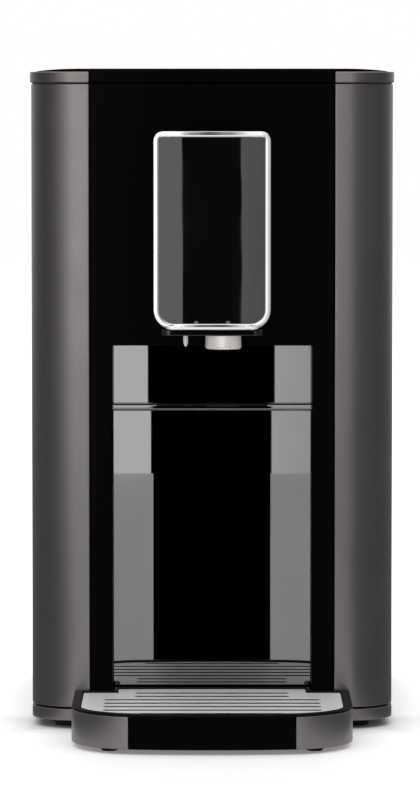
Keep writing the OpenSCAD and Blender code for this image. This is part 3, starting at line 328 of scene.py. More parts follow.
def roundEdges(obj, edge, steps=edgeRules["steps"]):
    if edge:
        bevel = obj.modifiers.new("edges", "BEVEL")
        bevel.width = edge * mm
        bevel.segments = steps
        bevel.limit_method = "ANGLE"
        bevel.angle_limit = math.radians(edgeRules["bevelDeg"])
        bevel.use_clamp_overlap = False
    settle(obj)
    smoothShade(obj.data)
    weigh = obj.modifiers.new("normals", "WEIGHTED_NORMAL")
    weigh.keep_sharp = True
    return settle(obj)


def rideWith(obj, node):
    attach(obj, bodyOf[node])


def standFor(obj, node, finish=None):
    obj.data.materials.clear()
    obj.data.materials.append(finishes[finish or slotOf[node]])
    rideWith(obj, node)
    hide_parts(node)


def nodeMesh(node):
    bm = bmesh.new()
    bm.from_mesh(frame["nodes"][node].data)
    bmesh.ops.remove_doubles(bm, verts=bm.verts, dist=cleaning["merge"] * mm)
    flat = math.radians(cleaning["flatDeg"])
    bmesh.ops.dissolve_limit(bm, angle_limit=flat, verts=bm.verts, edges=bm.edges)
    return bm


def softCopy(node, edge, finish=None):
    obj = objectFrom(node + "_body", nodeMesh(node))
    roundEdges(obj, edge, edgeRules["fineSteps" if edge < edgeRules["fineBelow"] else "steps"])
    standFor(obj, node, finish)


def toMiddle(bm, node):
    middle = (low(node) + high(node)) / 2
    bmesh.ops.translate(bm, verts=bm.verts, vec=Vector((middle.x, middle.y, 0)) * mm)


def arc(cx, cy, r, start, end, steps):
    turns = [math.radians(start + (end - start) * i / steps) for i in range(steps + 1)]
    return [(cx + r * math.cos(a), cy + r * math.sin(a)) for a in turns]


def roundBox(w, y0, y1, r0, r1, steps):
    points = arc(-w / 2 + r0, y0 + r0, r0, 180, 270, steps) + arc(w / 2 - r0, y0 + r0, r0, 270, 360, steps)
    return points + arc(w / 2 - r1, y1 - r1, r1, 0, 90, steps) + arc(-w / 2 + r1, y1 - r1, r1, 90, 180, steps)


def stepped(points, step):
    done = []
    for here, ahead in zip(points, points[1:] + points[:1]):
        count = max(1, round(math.dist(here, ahead) / step))
        done += [tuple(Vector(here).lerp(ahead, i / count)) for i in range(count)]
    return done


def rounded(section, steps):
    done = []
    for i, (u, v, r) in enumerate(section):
        here = Vector((u, v))
        back = (Vector(section[i - 1][:2]) - here).normalized() * r
        ahead = (Vector(section[(i + 1) % len(section)][:2]) - here).normalized() * r
        turns = [math.pi / 2 * k / steps for k in range(steps + 1)] if r else [0]
        done += [tuple(here + back * (1 - math.sin(a)) + ahead * (1 - math.cos(a))) for a in turns]
    return done


def sweep(outline, section, closedSection=True):
    # The outline is upright, and the section gives its inset and depth
    bm = bmesh.new()
    rows = [[bm.verts.new(Vector((x, y, z)) * mm) for x, z in outline(inset)] for inset, y in section]
    count = len(rows[0])
    for i in range(len(rows) if closedSection else len(rows) - 1):
        here, ahead = rows[i], rows[(i + 1) % len(rows)]
        for j in range(count):
            k = (j + 1) % count
            bm.faces.new((here[j], here[k], ahead[k], ahead[j]))
    if not closedSection:
        bm.faces.new(rows[0])
        bm.faces.new(rows[-1])
    bmesh.ops.recalc_face_normals(bm, faces=bm.faces)
    return bm


def lathe(profile, steps, closed=False):
    bm = bmesh.new()
    rings = []
    turns = [2 * math.pi * k / steps for k in range(steps)]
    for r, h in profile:
        spots = [(r * math.cos(a), r * math.sin(a), h) for a in turns] if r else [(0, 0, h)]
        rings.append([bm.verts.new(Vector(spot) * mm) for spot in spots])
    pairs = zip(rings, rings[1:] + rings[:1]) if closed else zip(rings, rings[1:])
    for here, ahead in pairs:
        for k in range(steps):
            n = (k + 1) % steps
            corners = list(dict.fromkeys((here[k % len(here)], here[n % len(here)],
                ahead[n % len(ahead)], ahead[k % len(ahead)])))
            if len(corners) > 2:
                bm.faces.new(corners)
    bmesh.ops.recalc_face_normals(bm, faces=bm.faces)
    return bm


# Geometry Nodes: copies of one small piece at given places

def newTree(name, inputs):
    tree = bpy.data.node_groups.new(name, "GeometryNodeTree")
    for socket, kind in (("Geometry", "Geometry"), *inputs.items()):
        tree.interface.new_socket(socket, in_out="INPUT", socket_type="NodeSocket" + kind)
    tree.interface.new_socket("Geometry", in_out="OUTPUT", socket_type="NodeSocketGeometry")
    return tree, addNode(tree, "NodeGroupInput").outputs


def endTree(tree, geometry, finish):
    real = addNode(tree, "GeometryNodeRealizeInstances", {"Geometry": geometry})
    paint = addNode(tree, "GeometryNodeSetMaterial",
        {"Geometry": real.outputs["Geometry"], "Material": finish})
    addNode(tree, "NodeGroupOutput", {"Geometry": paint.outputs["Geometry"]})
    return tree


def attribute(tree, name, kind):
    node = addNode(tree, "GeometryNodeInputNamedAttribute", {"Name": name}, data_type=kind)
    return node.outputs["Attribute"]


def makeRepeatTree():
    tree, source = newTree("repeatPiece", {"Piece": "Object", "Finish": "Material"})
    piece = addNode(tree, "GeometryNodeObjectInfo", {"Object": source["Piece"]})
    copies = addNode(tree, "GeometryNodeInstanceOnPoints", {"Points": source["Geometry"],
        "Instance": piece.outputs["Geometry"], "Scale": attribute(tree, "stretch", "FLOAT_VECTOR")})
    return endTree(tree, copies.outputs["Instances"], source["Finish"])


repeatTree = makeRepeatTree()


def runTree(obj, tree, values):
    modifier = obj.modifiers.new("nodes", "NODES")
    modifier.node_group = tree
    for item in tree.interface.items_tree:
        if item.in_out == "INPUT" and item.name in values:
            modifier[item.identifier] = values[item.name]
    settle(obj)


def repeatPiece(name, pieceMesh, places, finish):
    # A place may end with the piece's width
    piece = objectFrom(name + "_one", pieceMesh)
    smoothShade(piece.data)
    points = bmesh.new()
    stretch = points.verts.layers.float_vector.new("stretch")
    for x, y, z, *wide in places:
        spot = points.verts.new(Vector((x, y, z)) * mm)
        spot[stretch] = Vector((wide[0] if wide else 1, 1, 1))
    obj = objectFrom(name, points)
    runTree(obj, repeatTree, {"Piece": piece, "Finish": finishes[finish]})
    bpy.data.objects.remove(piece)
    return obj


# Casing

sidePanel = {"cornerR": 21.0, "wall": 2.4, "edge": 0.45, "arcSteps": 24, "crownDeg": 3.5, "crownSteps": 6,
    "gap": 0.4, "slack": 0.01}


def sidePath(frontX, sideX, frontY, towerBack, rearY):
    # The front strip is slightly crowned and runs into the corner without a break
    r, steps, crown = sidePanel["cornerR"], sidePanel["crownSteps"], math.radians(sidePanel["crownDeg"])
    length = sideX - r - frontX
    sag = math.tan(crown) * length / 2
    path = [(frontX + length * i / steps, frontY + sag * (i / steps) ** 2) for i in range(steps)]
    cornerR = r / (1 - math.sin(crown))
    cornerY = frontY + sag + cornerR * math.cos(crown)
    path += arc(sideX - cornerR, cornerY, cornerR, 270 + sidePanel["crownDeg"], 360, sidePanel["arcSteps"])
    path += [(sideX, towerBack)]
    path += arc(sideX - r, rearY - r, r, 0, 90, sidePanel["arcSteps"])
    return path + [(frontX, rearY)]


def makeSidePanel(node, side):
    box0, box1 = low(node), high(node)
    frontX, sideX = sorted((abs(box0.x), abs(box1.x)))
    towerBack = high("rear_bulkhead").y
    path = sidePath(frontX, sideX, box0.y, towerBack, box1.y)
    heights = [box0.z + sidePanel["gap"], low("tank_deck").z, box1.z]
    bm = bmesh.new()
    rows = [[bm.verts.new(Vector((side * x, y, z)) * mm) for x, y in path] for z in heights]
    for i, (lower, upper) in enumerate(zip(rows, rows[1:])):
        for j in range(len(path) - 1):
            if i == 0 or max(path[j][1], path[j + 1][1]) <= towerBack + sidePanel["slack"]:
                bm.faces.new((lower[j], lower[j + 1], upper[j + 1], upper[j]))
    bmesh.ops.delete(bm, geom=[v for v in bm.verts if not v.link_faces], context="VERTS")
    bmesh.ops.recalc_face_normals(bm, faces=bm.faces)
    middle = Vector((0, 0, (box0.z + box1.z) / 2 * mm))
    if sum(f.normal.dot(f.calc_center_median() - middle) for f in bm.faces) < 0:
        bmesh.ops.reverse_faces(bm, faces=bm.faces)
    obj = objectFrom(node + "_body", bm)
    wall = obj.modifiers.new("wall", "SOLIDIFY")
    wall.thickness = sidePanel["wall"] * mm
    wall.offset = -1
    wall.use_even_offset = True
    standFor(roundEdges(obj, sidePanel["edge"]), node)


makeSidePanel("right_side_panel", 1)
makeSidePanel("left_side_panel", -1)

softEdges = {
    "base_pan": 0.3, "front_panel": 0.5, "niche_liner": 0.4, "niche_mirror": 0.25, "niche_bead": 0,
    "rear_bulkhead": 0.4, "rear_panel": 0.5, "tank_deck": 0.6, "top_cover": 0.7, "left_cap_trim": 0.45,
    "right_cap_trim": 0.45, "head_shell": 0.3, "display_board": 0.2, "spout_block": 0.5,
    "outlet_chamber": 0.4, "outlet_hose": 0, "heater_tube": 0.3, "heater_caps": 0.3, "thermal_cutouts": 0.3,
    "temperature_probe": 0.2, "pressure_hose": 0.3, "pump_volute": 0.3, "pump_cover": 0.3,
    "pump_impeller": 0.15, "pump_motor": 0.6,
    "meter_hose": 0.3, "flow_meter": 0.25, "meter_rotor": 0.1, "meter_cap": 0.3, "suction_hose": 0.3,
    "dock_socket": 0.35, "dock_seal": 0.4, "power_board": 0.2, "board_parts": 0.35, "level_sensor": 0.4,
    "cord_gland": 0.4, "switch_housing": 0.35, "power_rocker": 0.25, "tray_skirt": 0.4, "tray_inlay": 0.25,
    "drip_basin": 0.35, "water_tank": 0.5, "hinge_pin": 0.2, "tank_lid": 0.5, "lid_gasket": 0.35,
    "valve_seat": 0.25, "strainer": 0.15, "valve_poppet": 0.2, "level_float": 0.6, "valve_spring": 0,
    "case_screws": 0.2,
}
ownFinish = {"spout_block": "polished_black", "drip_basin": "basin_black"}
for softNode, softEdge in softEdges.items():
    softCopy(softNode, softEdge, ownFinish.get(softNode))
print("casing and inner pieces made")


# Rear side

rayStart = 20.0
markSink = 0.1


def barMesh(width, depth, height, slope):
    bm = bmesh.new()
    w, h = width / 2, height / 2
    corners = ((-1, -1), (1, -1), (1, 1), (-1, 1))
    back = [bm.verts.new(Vector((x * w, -markSink, z * h)) * mm) for x, z in corners]
    front = [bm.verts.new(Vector((x * (w - slope), depth, z * (h - slope))) * mm) for x, z in corners]
    for i in range(len(corners)):
        bm.faces.new((back[i], back[i - 1], front[i - 1], front[i]))
    bm.faces.new(back)
    bm.faces.new(front)
    bmesh.ops.recalc_face_normals(bm, faces=bm.faces)
    return bm


def rearSpot(node, x, z):
    bm = nodeMesh(node)
    tree = BVHTree.FromBMesh(bm)
    bm.free()
    start = Vector((x, high(node).y + rayStart, z)) * mm
    return tree.ray_cast(start, Vector((0, -1, 0)))[:2]


levelMarks = {"long": 16.0, "short": 9.0, "longEvery": 3, "thick": 0.9, "out": 0.3, "step": 18.0, "count": 13,
    "firstUp": 16.0, "x": 46.0}


def makeLevelMarks():
    size = levelMarks
    bottom = low("water_tank").z + size["firstUp"]
    wallY = rearSpot("water_tank", size["x"], bottom)[0].y / mm
    right = size["x"] + size["long"] / 2
    places = []
    for i in range(size["count"]):
        wide = size["short" if i % size["longEvery"] else "long"]
        places.append((right - wide / 2, wallY, bottom + i * size["step"], wide))
    shape = barMesh(1.0, size["out"], size["thick"], 0.0)
    rideWith(repeatPiece("tank_level_marks", shape, places, "pale_plastic"), "water_tank")


rearRibs = {"width": 13.0, "thick": 1.6, "out": 0.9, "slope": 0.4, "pitch": 4.2, "count": 7,
    "xs": (-57.0, 5.0, 57.0)}


def makeRearRibs():
    size = rearRibs
    box0, box1 = low("rear_panel"), high("rear_panel")
    middle = (box0.z + box1.z) / 2
    half = (size["count"] - 1) / 2
    heights = [middle + (i - half) * size["pitch"] for i in range(size["count"])]
    places = [(x, box1.y, z) for x in size["xs"] for z in heights]
    shape = barMesh(size["width"], size["out"], size["thick"], size["slope"])
    rideWith(repeatPiece("rear_panel_ribs", shape, places, "satin_black"), "rear_panel")


rockerMarks = {"up": 3.6, "barW": 0.7, "barH": 2.6, "slope": 0.05, "ringR": 1.3, "ringW": 0.35, "out": 0.12,
    "steps": 32}


def makeRockerMarks():
    size = rockerMarks
    middle = (low("power_rocker") + high("power_rocker")) / 2
    bar = barMesh(size["barW"], size["out"], size["barH"], size["slope"])
    outer, inner, out = size["ringR"], size["ringR"] - size["ringW"], size["out"]
    profile = [(outer, -markSink), (outer, out), (inner, out), (inner, -markSink)]
    ring = lathe(profile, size["steps"], closed=True)
    bmesh.ops.rotate(ring, verts=ring.verts, matrix=Matrix.Rotation(-math.pi / 2, 3, "X"))
    for name, shape, up in (("rocker_bar", bar, 1), ("rocker_ring", ring, -1)):
        spot, normal = rearSpot("power_rocker", middle.x, middle.z + up * size["up"])
        turn = Vector((0, 1, 0)).rotation_difference(normal).to_matrix().to_4x4()
        bmesh.ops.transform(shape, verts=shape.verts, matrix=Matrix.Translation(spot) @ turn)
        obj = objectFrom(name, shape)
        smoothShade(obj.data)
        obj.data.materials.append(finishes["pale_plastic"])
        rideWith(obj, "power_rocker")


makeLevelMarks()
makeRearRibs()
makeRockerMarks()
print("rear side made")


# Display head

head = {"rTop": 4.5, "rBottom": 9.5, "arcSteps": 12, "step": 2.0, "crownR": 1450.0, "crownInset": 1.5}
crownHalf = high("display_glass").x - head["crownInset"]


def headOutline(inset):
    box0, box1 = low("head_bezel"), high("head_bezel")
    points = roundBox(box1.x - box0.x - 2 * inset, box0.z + inset, box1.z - inset, head["rBottom"] - inset,
        head["rTop"] - inset, head["arcSteps"])
    return stepped(points, head["step"])


def crownSag(x):
    return (crownHalf ** 2 - x ** 2) / (2 * head["crownR"])


def crownFront(bm, limitY, backY):
    # Bends the front about an upright axis, fading out from limitY to backY
    for v in bm.verts:
        share = min(1, max(0, (backY - v.co.y / mm) / (backY - limitY)))
        v.co.y -= share * crownSag(v.co.x / mm) * mm


bezel = {"edge": 0.35, "backEdge": 0.15, "fall": 0.1, "glassGap": 0.1, "brow": 0.2, "browR": 0.5, "lip": 0.6,
    "lipUp": 0.12, "lipDown": 0.1, "lipR": 0.1, "steps": 6}


def makeBezel():
    size = bezel
    back, front = high("head_bezel").y, low("head_bezel").y
    width = high("head_bezel").x - high("display_glass").x - size["glassGap"]
    lip = width + size["lip"]
    glass = low("display_glass").y
    under = glass + size["lipDown"]
    section = [(0, back, size["backEdge"]), (0, front + size["fall"], size["edge"]),
        (width - size["brow"], front, size["browR"]), (lip, glass - size["lipUp"], size["lipR"]),
        (lip, under, 0), (width, under, 0), (width, back, size["backEdge"])]
    bm = sweep(headOutline, rounded(section, size["steps"]))
    crownFront(bm, under, back)
    standFor(roundEdges(objectFrom("head_bezel_ring", bm), 0), "head_bezel")


pane = {"edge": 0.35, "edgeSteps": 4, "flatFrom": 1.2, "cuts": 28, "snap": 0.0001}


def makeGlass():
    size = pane
    back, front = high("display_glass").y, low("display_glass").y
    reach = high("head_bezel").x
    rim = reach - high("display_glass").x
    section = rounded([(rim, back, 0), (rim, front, size["edge"]), (rim + size["flatFrom"], front, 0)],
        size["edgeSteps"])
    bm = sweep(headOutline, section, closedSection=False)
    for i in range(1, size["cuts"]):
        x = reach * (2 * i / size["cuts"] - 1)
        bmesh.ops.bisect_plane(bm, geom=bm.verts[:] + bm.edges[:] + bm.faces[:], dist=size["snap"] * mm,
            plane_co=(x * mm, 0, 0), plane_no=(1, 0, 0))
    crownFront(bm, front + size["edge"], back)
    standFor(roundEdges(objectFrom("display_pane", bm), 0), "display_glass")


touchMarks = {"x": 7.5, "z": 198.6, "r": 1.1, "steps": 28,
    "dome": ((1, 0.05), (1, -0.02), (0.6, -0.05), (0, -0.06))}


def makeTouchMarks():
    size = touchMarks
    front = low("display_glass").y
    shape = lathe([(share * size["r"], h) for share, h in size["dome"]], size["steps"])
    bmesh.ops.rotate(shape, verts=shape.verts, matrix=Matrix.Rotation(-math.pi / 2, 3, "X"))
    places = [(side * size["x"], front - crownSag(size["x"]), size["z"]) for side in (-1, 1)]
    rideWith(repeatPiece("touch_marks", shape, places, "touch_mark"), "display_glass")


spout = {"wall": 2.0, "lip": 1.1, "shoulder": 0.25, "neckR": 5.5, "holeR": 3.5, "neckEdge": 0.3, "roof": 2.0,
    "roofR": 0.6, "boreLip": 0.5, "edgeSteps": 5, "steps": 72}


def makeSpout():
    size = spout
    box0, box1 = low("spout"), high("spout")
    r = (box1.x - box0.x) / 2
    top = low("spout_block").z
    roof = top - size["roof"]
    bore, neck, hole = r - size["wall"], size["neckR"], size["holeR"]
    profile = [(r, box0.z, size["lip"]), (r, top, size["shoulder"]), (neck, top, 0),
        (neck, box1.z, size["neckEdge"]), (hole, box1.z, size["neckEdge"]), (hole, roof, 0),
        (bore, roof, size["roofR"]), (bore, box0.z, size["boreLip"])]
    bm = lathe(rounded(profile, size["edgeSteps"]), size["steps"], closed=True)
    toMiddle(bm, "spout")
    # The spout takes the lighter steel copy, painted light
    standFor(roundEdges(objectFrom("spout_tube", bm), 0), "spout", "spout_steel")


# The tip's points are shares of its radius and length
ventPin = {"tip": 1.6, "shape": ((0.6, 0.45), (0.9, 0.85), (1, 1.1)), "pointR": 0.28, "pointUp": 0.05,
    "edge": 0.2, "steps": 32}


def makeVentPin():
    size = ventPin
    box0, box1 = low("vent_pin"), high("vent_pin")
    r = (box1.x - box0.x) / 2
    tip = size["tip"] * r
    profile = [(0, box0.z), (size["pointR"] * r, box0.z + size["pointUp"])]
    profile += [(wide * r, box0.z + up * tip) for wide, up in size["shape"]]
    profile += [(r, box1.z - size["edge"]), (r - size["edge"], box1.z), (0, box1.z)]
    bm = lathe(profile, size["steps"])
    toMiddle(bm, "vent_pin")
    # The vent pin takes the same lighter steel copy, painted light
    standFor(roundEdges(objectFrom("vent_tip", bm), 0), "vent_pin", "spout_steel")


makeBezel()
makeGlass()
makeTouchMarks()
makeSpout()
makeVentPin()
print("display head made")


# Drip tray

tray = {"r": 32.0, "bowR": 320.0, "width": 132.5, "tongueHalf": 47.2, "gap": 0.4}
grid = {"inset": 4.5, "tongueInset": 2.0, "slotW": 4.0, "pitch": 12.0, "first": 10.5, "long": 103.0,
    "short": 74.0, "shortRows": 2, "sideRim": 5.0, "rearRim": 3.0, "edge": 0.12, "edgeSteps": 2,
    "cornerSteps": 14, "bowSteps": 20, "slotPoints": 18, "weld": 0.001, "wallLean": 0.5}


def gridOutline(backY):
    # Also gives the centre of the front corners
    inset = grid["inset"]
    r, bow = tray["r"] - inset, tray["bowR"] - inset
    cx = tray["width"] / 2 - tray["r"]
    bowY = low("tray_inlay").y + tray["bowR"]
    cy = bowY - math.sqrt((bow - r) ** 2 - cx ** 2)
    swing = math.degrees(math.asin(cx / (bow - r)))
    half = tray["width"] / 2 - inset
    inner = tray["tongueHalf"] - grid["tongueInset"]
    tongueY = high("drip_basin").y - grid["tongueInset"]
    points = [(-inner, tongueY), (-inner, backY - inset), (-half, backY - inset)]
    points += arc(-cx, cy, r, 180, 270 - swing, grid["cornerSteps"])
    points += arc(0, bowY, bow, 270 - swing, 270 + swing, grid["bowSteps"])[1:-1]
    points += arc(cx, cy, r, 270 + swing, 360, grid["cornerSteps"])
    return points + [(half, backY - inset), (inner, backY - inset), (inner, tongueY)], cx, cy


def makeSlotTree():
    inputs = {"Slot Width": "Float", "Thickness": "Float", "Finish": "Material"}
    tree, source = newTree("slottedPlate", inputs)
    length = attribute(tree, "slotLength", "FLOAT")
    isSlot = addNode(tree, "FunctionNodeCompare", {"A": length}, data_type="FLOAT", operation="GREATER_THAN")
    parts = addNode(tree, "GeometryNodeSeparateGeometry",
        {"Geometry": source["Geometry"], "Selection": isSlot.outputs["Result"]})
    rim = addNode(tree, "GeometryNodeMeshToCurve", {"Mesh": parts.outputs["Inverted"]})
    # A ring at each slot's middle is drawn out to both sides
    ring = addNode(tree, "GeometryNodeCurvePrimitiveCircle", {"Resolution": grid["slotPoints"],
        "Radius": maths(tree, "MULTIPLY", source["Slot Width"], 0.5)})
    turned = addNode(tree, "GeometryNodeTransform", {"Geometry": ring.outputs["Curve"],
        "Rotation": (0, 0, math.pi / grid["slotPoints"])})
    place = addNode(tree, "GeometryNodeInputPosition")
    side = maths(tree, "SIGN", axesOf(tree, place.outputs["Position"])["X"])
    marked = addNode(tree, "GeometryNodeStoreNamedAttribute",
        {"Name": "side", "Geometry": turned.outputs["Geometry"], "Value": side},
        data_type="FLOAT", domain="POINT")
    copies = addNode(tree, "GeometryNodeInstanceOnPoints",
        {"Points": parts.outputs["Selection"], "Instance": marked.outputs["Geometry"]})
    rings = addNode(tree, "GeometryNodeRealizeInstances", {"Geometry": copies.outputs["Instances"]})
    reach = maths(tree, "MULTIPLY", length, attribute(tree, "side", "FLOAT"))
    shift = addNode(tree, "ShaderNodeCombineXYZ", {"X": reach})
    slots = addNode(tree, "GeometryNodeSetPosition",
        {"Geometry": rings.outputs["Geometry"], "Offset": shift.outputs["Vector"]})
    lines = addNode(tree, "GeometryNodeJoinGeometry",
        {"Geometry": [rim.outputs["Curve"], slots.outputs["Geometry"]]})
    sheet = addNode(tree, "GeometryNodeFillCurve", {"Curve": lines.outputs["Geometry"]}).outputs["Mesh"]
    raised = addNode(tree, "GeometryNodeExtrudeMesh",
        {"Mesh": sheet, "Offset Scale": source["Thickness"], "Individual": False})
    under = addNode(tree, "GeometryNodeFlipFaces", {"Mesh": sheet})
    both = addNode(tree, "GeometryNodeJoinGeometry",
        {"Geometry": [raised.outputs["Mesh"], under.outputs["Mesh"]]})
    closed = addNode(tree, "GeometryNodeMergeByDistance",
        {"Geometry": both.outputs["Geometry"], "Distance": grid["weld"] * mm})
    return endTree(tree, closed.outputs["Geometry"], source["Finish"])


def slotLength(y, cx, cy, backY):
    if y > backY - grid["shortRows"] * grid["pitch"]:
        return grid["short"]
    if y - grid["slotW"] > cy:
        return grid["long"]
    reach = tray["r"] - grid["inset"] - grid["sideRim"]
    drop = cy - y + grid["slotW"] / 2
    return min(grid["long"], 2 * (cx + math.sqrt(max(0, reach ** 2 - drop ** 2))))


def makeGrid():
    box0, box1 = low("drip_grid"), high("drip_grid")
    backY = low("front_panel").y - tray["gap"]
    outline, cx, cy = gridOutline(backY)
    firstY = low("tray_inlay").y + grid["first"]
    lastY = box1.y - grid["rearRim"] - grid["slotW"] / 2
    bm = bmesh.new()
    rim = [bm.verts.new(Vector((x, y, 0)) * mm) for x, y in outline]
    for i, v in enumerate(rim):
        bm.edges.new((v, rim[(i + 1) % len(rim)]))
    reach = bm.verts.layers.float.new("slotLength")
    for i in range(int((lastY - firstY) / grid["pitch"]) + 1):
        y = firstY + i * grid["pitch"]
        spot = bm.verts.new(Vector((0, y, 0)) * mm)
        spot[reach] = (slotLength(y, cx, cy, backY) - grid["slotW"]) / 2 * mm
    obj = objectFrom("drip_grid_plate", bm)
    # The plate takes the lighter steel copy, painted light
    runTree(obj, makeSlotTree(), {"Slot Width": grid["slotW"] * mm, "Thickness": (box1.z - box0.z) * mm,
        "Finish": finishes["grid_steel"]})
    obj.data.transform(Matrix.Translation((0, 0, box0.z * mm)))
    roundEdges(obj, grid["edge"], grid["edgeSteps"])
    standFor(obj, "drip_grid", "grid_steel")
    # The upright faces of the slots take the near-black finish, painted shade
    obj.data.materials.append(finishes["slot_wall"])
    for face in obj.data.polygons:
        if abs(face.normal.z) < grid["wallLean"]:
            face.material_index = 1


# The sole is a share of the foot's radius, and the pad and flare are shares of sole and height
foot = {"bodyR": 7.0, "studR": 2.5, "studUp": 2.4, "studEdge": 0.4, "bodySole": 0.92, "traySole": 0.85,
    "hollow": 0.5, "pad": (0.5, 0.55, 0.93), "flare": (0.2, 0.7, 0.85), "steps": 40}


def footMesh(r, top, sole, stud=None):
    s, soleR = foot["hollow"], sole * r
    inner, start, end = foot["pad"]
    first, second, third = foot["flare"]
    profile = [(0, s), (inner * soleR, s), (start * soleR, 0), (end * soleR, 0), (soleR, first * top),
        (0.5 * (soleR + r), second * top), (r, third * top), (r, top)]
    if stud:
        studR, studTop = stud
        edge = foot["studEdge"]
        profile += [(studR, top), (studR, studTop - edge), (studR - edge, studTop), (0, studTop)]
    else:
        profile += [(0, top)]
    return lathe(profile, foot["steps"])


def makeFeet():
    box0, box1 = low("base_feet"), high("base_feet")
    r = foot["bodyR"]
    places = [(x, y, 0) for x in (box0.x + r, box1.x - r) for y in (box0.y + r, box1.y - r)]
    shape = footMesh(r, box1.z - foot["studUp"], foot["bodySole"], (foot["studR"], box1.z))
    standFor(repeatPiece("casing_feet", shape, places, "rubber"), "base_feet")
    box0, box1 = low("tray_feet"), high("tray_feet")
    r = (box1.y - box0.y) / 2
    places = [(x, box0.y + r, 0) for x in (box0.x + r, box1.x - r)]
    shape = footMesh(r, box1.z, foot["traySole"])
    standFor(repeatPiece("tray_front_feet", shape, places, "rubber"), "tray_feet")


makeGrid()
makeFeet()
print("drip tray and feet made")


# Stage, light and camera, in metres

# Strengths of the painted light on the floor, shaped around the part
floor = {"size": 12.0, "frontGlow": 0.2, "sideGlow": 0.3, "farGlow": 0.62, "frontRamp": (0.0, 0.02),
    "ringRamp": (-0.003, 0.003), "laneRamp": (0.05, 0.13), "behindRamp": (0.02, 0.05), "farRamp": (0.3, 1.2)}


def paintedFloorLight(tree):
    # Painted light for camera rays: none under the casing and weak in the tray's lane, which paints a darker
    # contact shadow there, and full farther off
    box0, box1 = low("base_pan") * mm, high("base_pan") * mm
    middle, half = (box0 + box1) / 2, (box1 - box0) / 2
    space = objectSpace(tree)
    axes = axesOf(tree, space)
    aside = maths(tree, "ABSOLUTE", axes["X"])
    overX = maths(tree, "SUBTRACT", aside, half.x)
    fromMiddle = maths(tree, "SUBTRACT", axes["Y"], middle.y)
    overY = maths(tree, "SUBTRACT", maths(tree, "ABSOLUTE", fromMiddle), half.y)
    beside = maths(tree, "MAXIMUM", overX, overY)
    front = spread(tree, beside, 0.0, floor["frontGlow"], *floor["frontRamp"])
    ring = spread(tree, beside, 0.0, floor["sideGlow"], *floor["ringRamp"])
    offLane = spread(tree, aside, 0.0, 1.0, *floor["laneRamp"])
    behind = spread(tree, axes["Y"], 0.0, 1.0, *(box0.y + y for y in floor["behindRamp"]))
    clear = maths(tree, "MAXIMUM", offLane, behind)
    near = maths(tree, "ADD", front, maths(tree, "MULTIPLY", ring, clear))
    away = addNode(tree, "ShaderNodeVectorMath", {0: space}, operation="LENGTH").outputs["Value"]
    far = spread(tree, away, 0.0, floor["farGlow"] - floor["frontGlow"], *floor["farRamp"])
    return maths(tree, "MINIMUM", maths(tree, "ADD", near, far), floor["farGlow"])


def mixShaders(tree, factor, first, second):
    return addNode(tree, "ShaderNodeMixShader", {0: factor, 1: first, 2: second}).outputs[0]


def seenRays(tree, path):
    rays = path.outputs["Is Camera Ray"], path.outputs["Is Transmission Ray"]
    return maths(tree, "ADD", *rays, clamp=True)


def makeFloor():
    bm = bmesh.new()
    half = floor["size"] / 2
    corners = ((-half, -half), (half, -half), (half, half), (-half, half))
    bm.faces.new([bm.verts.new((x, y, 0)) for x, y in corners])
    obj = objectFrom("floor", bm)
    look = {"Base Color": (0.8, 0.8, 0.8), "Roughness": 0.9, "Specular IOR Level": 0.1}
    finish, tree, shader = newFinish("paleFloor", look)
    # The floor's emission is painted light, for camera and transmission rays
    glow = addNode(tree, "ShaderNodeEmission", {"Color": white, "Strength": paintedFloorLight(tree)})
    both = addNode(tree, "ShaderNodeAddShader", {0: shader.outputs[0], 1: glow.outputs[0]})
    seen = seenRays(tree, addNode(tree, "ShaderNodeLightPath"))
    last = mixShaders(tree, seen, shader.outputs[0], both.outputs[0])
    tree.links.new(last, tree.nodes["Material Output"].inputs["Surface"])
    obj.data.materials.append(finish)


sky = {"seen": 1.0, "soft": 0.5, "mirroredFront": 0.15, "mirroredBack": 0.75}


def makeWorld():
    world = bpy.data.worlds.new("studioWorld")
    bpy.context.scene.world = world
    world.use_nodes = True
    tree = world.node_tree
    tree.nodes.clear()
    path = addNode(tree, "ShaderNodeLightPath")
    way = addNode(tree, "ShaderNodeTexCoord")
    ahead = spread(tree, axesOf(tree, way.outputs["Generated"])["Y"], 0.0, 1.0, 0.0, 1.0)
    squared = maths(tree, "MULTIPLY", ahead, ahead)
    mirrored = spread(tree, squared, sky["mirroredFront"], sky["mirroredBack"], 0.0, 1.0)
    plain, soft, glossy = (
        addNode(tree, "ShaderNodeBackground", {"Color": white, "Strength": glow}).outputs[0]
        for glow in (sky["seen"], sky["soft"], mirrored))
    unseen = mixShaders(tree, path.outputs["Is Glossy Ray"], soft, glossy)
    last = mixShaders(tree, seenRays(tree, path), unseen, plain)
    addNode(tree, "ShaderNodeOutputWorld", {"Surface": last})


def addScreen(name, corners, finish, lights=False):
    bm = bmesh.new()
    bm.faces.new([bm.verts.new(corner) for corner in corners])
    obj = objectFrom(name, bm)
    obj.data.materials.append(finish)
    obj.visible_camera = False
    obj.visible_shadow = False
    obj.visible_transmission = False
    obj.visible_diffuse = lights


def upright(x0, x1, y, z0, z1):
    return ((x0, y, z0), (x0, y, z1), (x1, y, z1), (x1, y, z0))


# The glow of a soft box falls off from the gap between the two
softBoxes = {"y": -1.5, "width": 2.6, "height": 1.9, "middleZ": 0.5, "gap": 0.05, "power": 1.6}
leftBox = {"glow": 1.8, "width": 0.75, "base": 0.0}
rightBox = {"glow": 1.4, "width": 0.16, "base": 0.15}
noShine = {"Base Color": (0, 0, 0), "Specular IOR Level": 0.0}


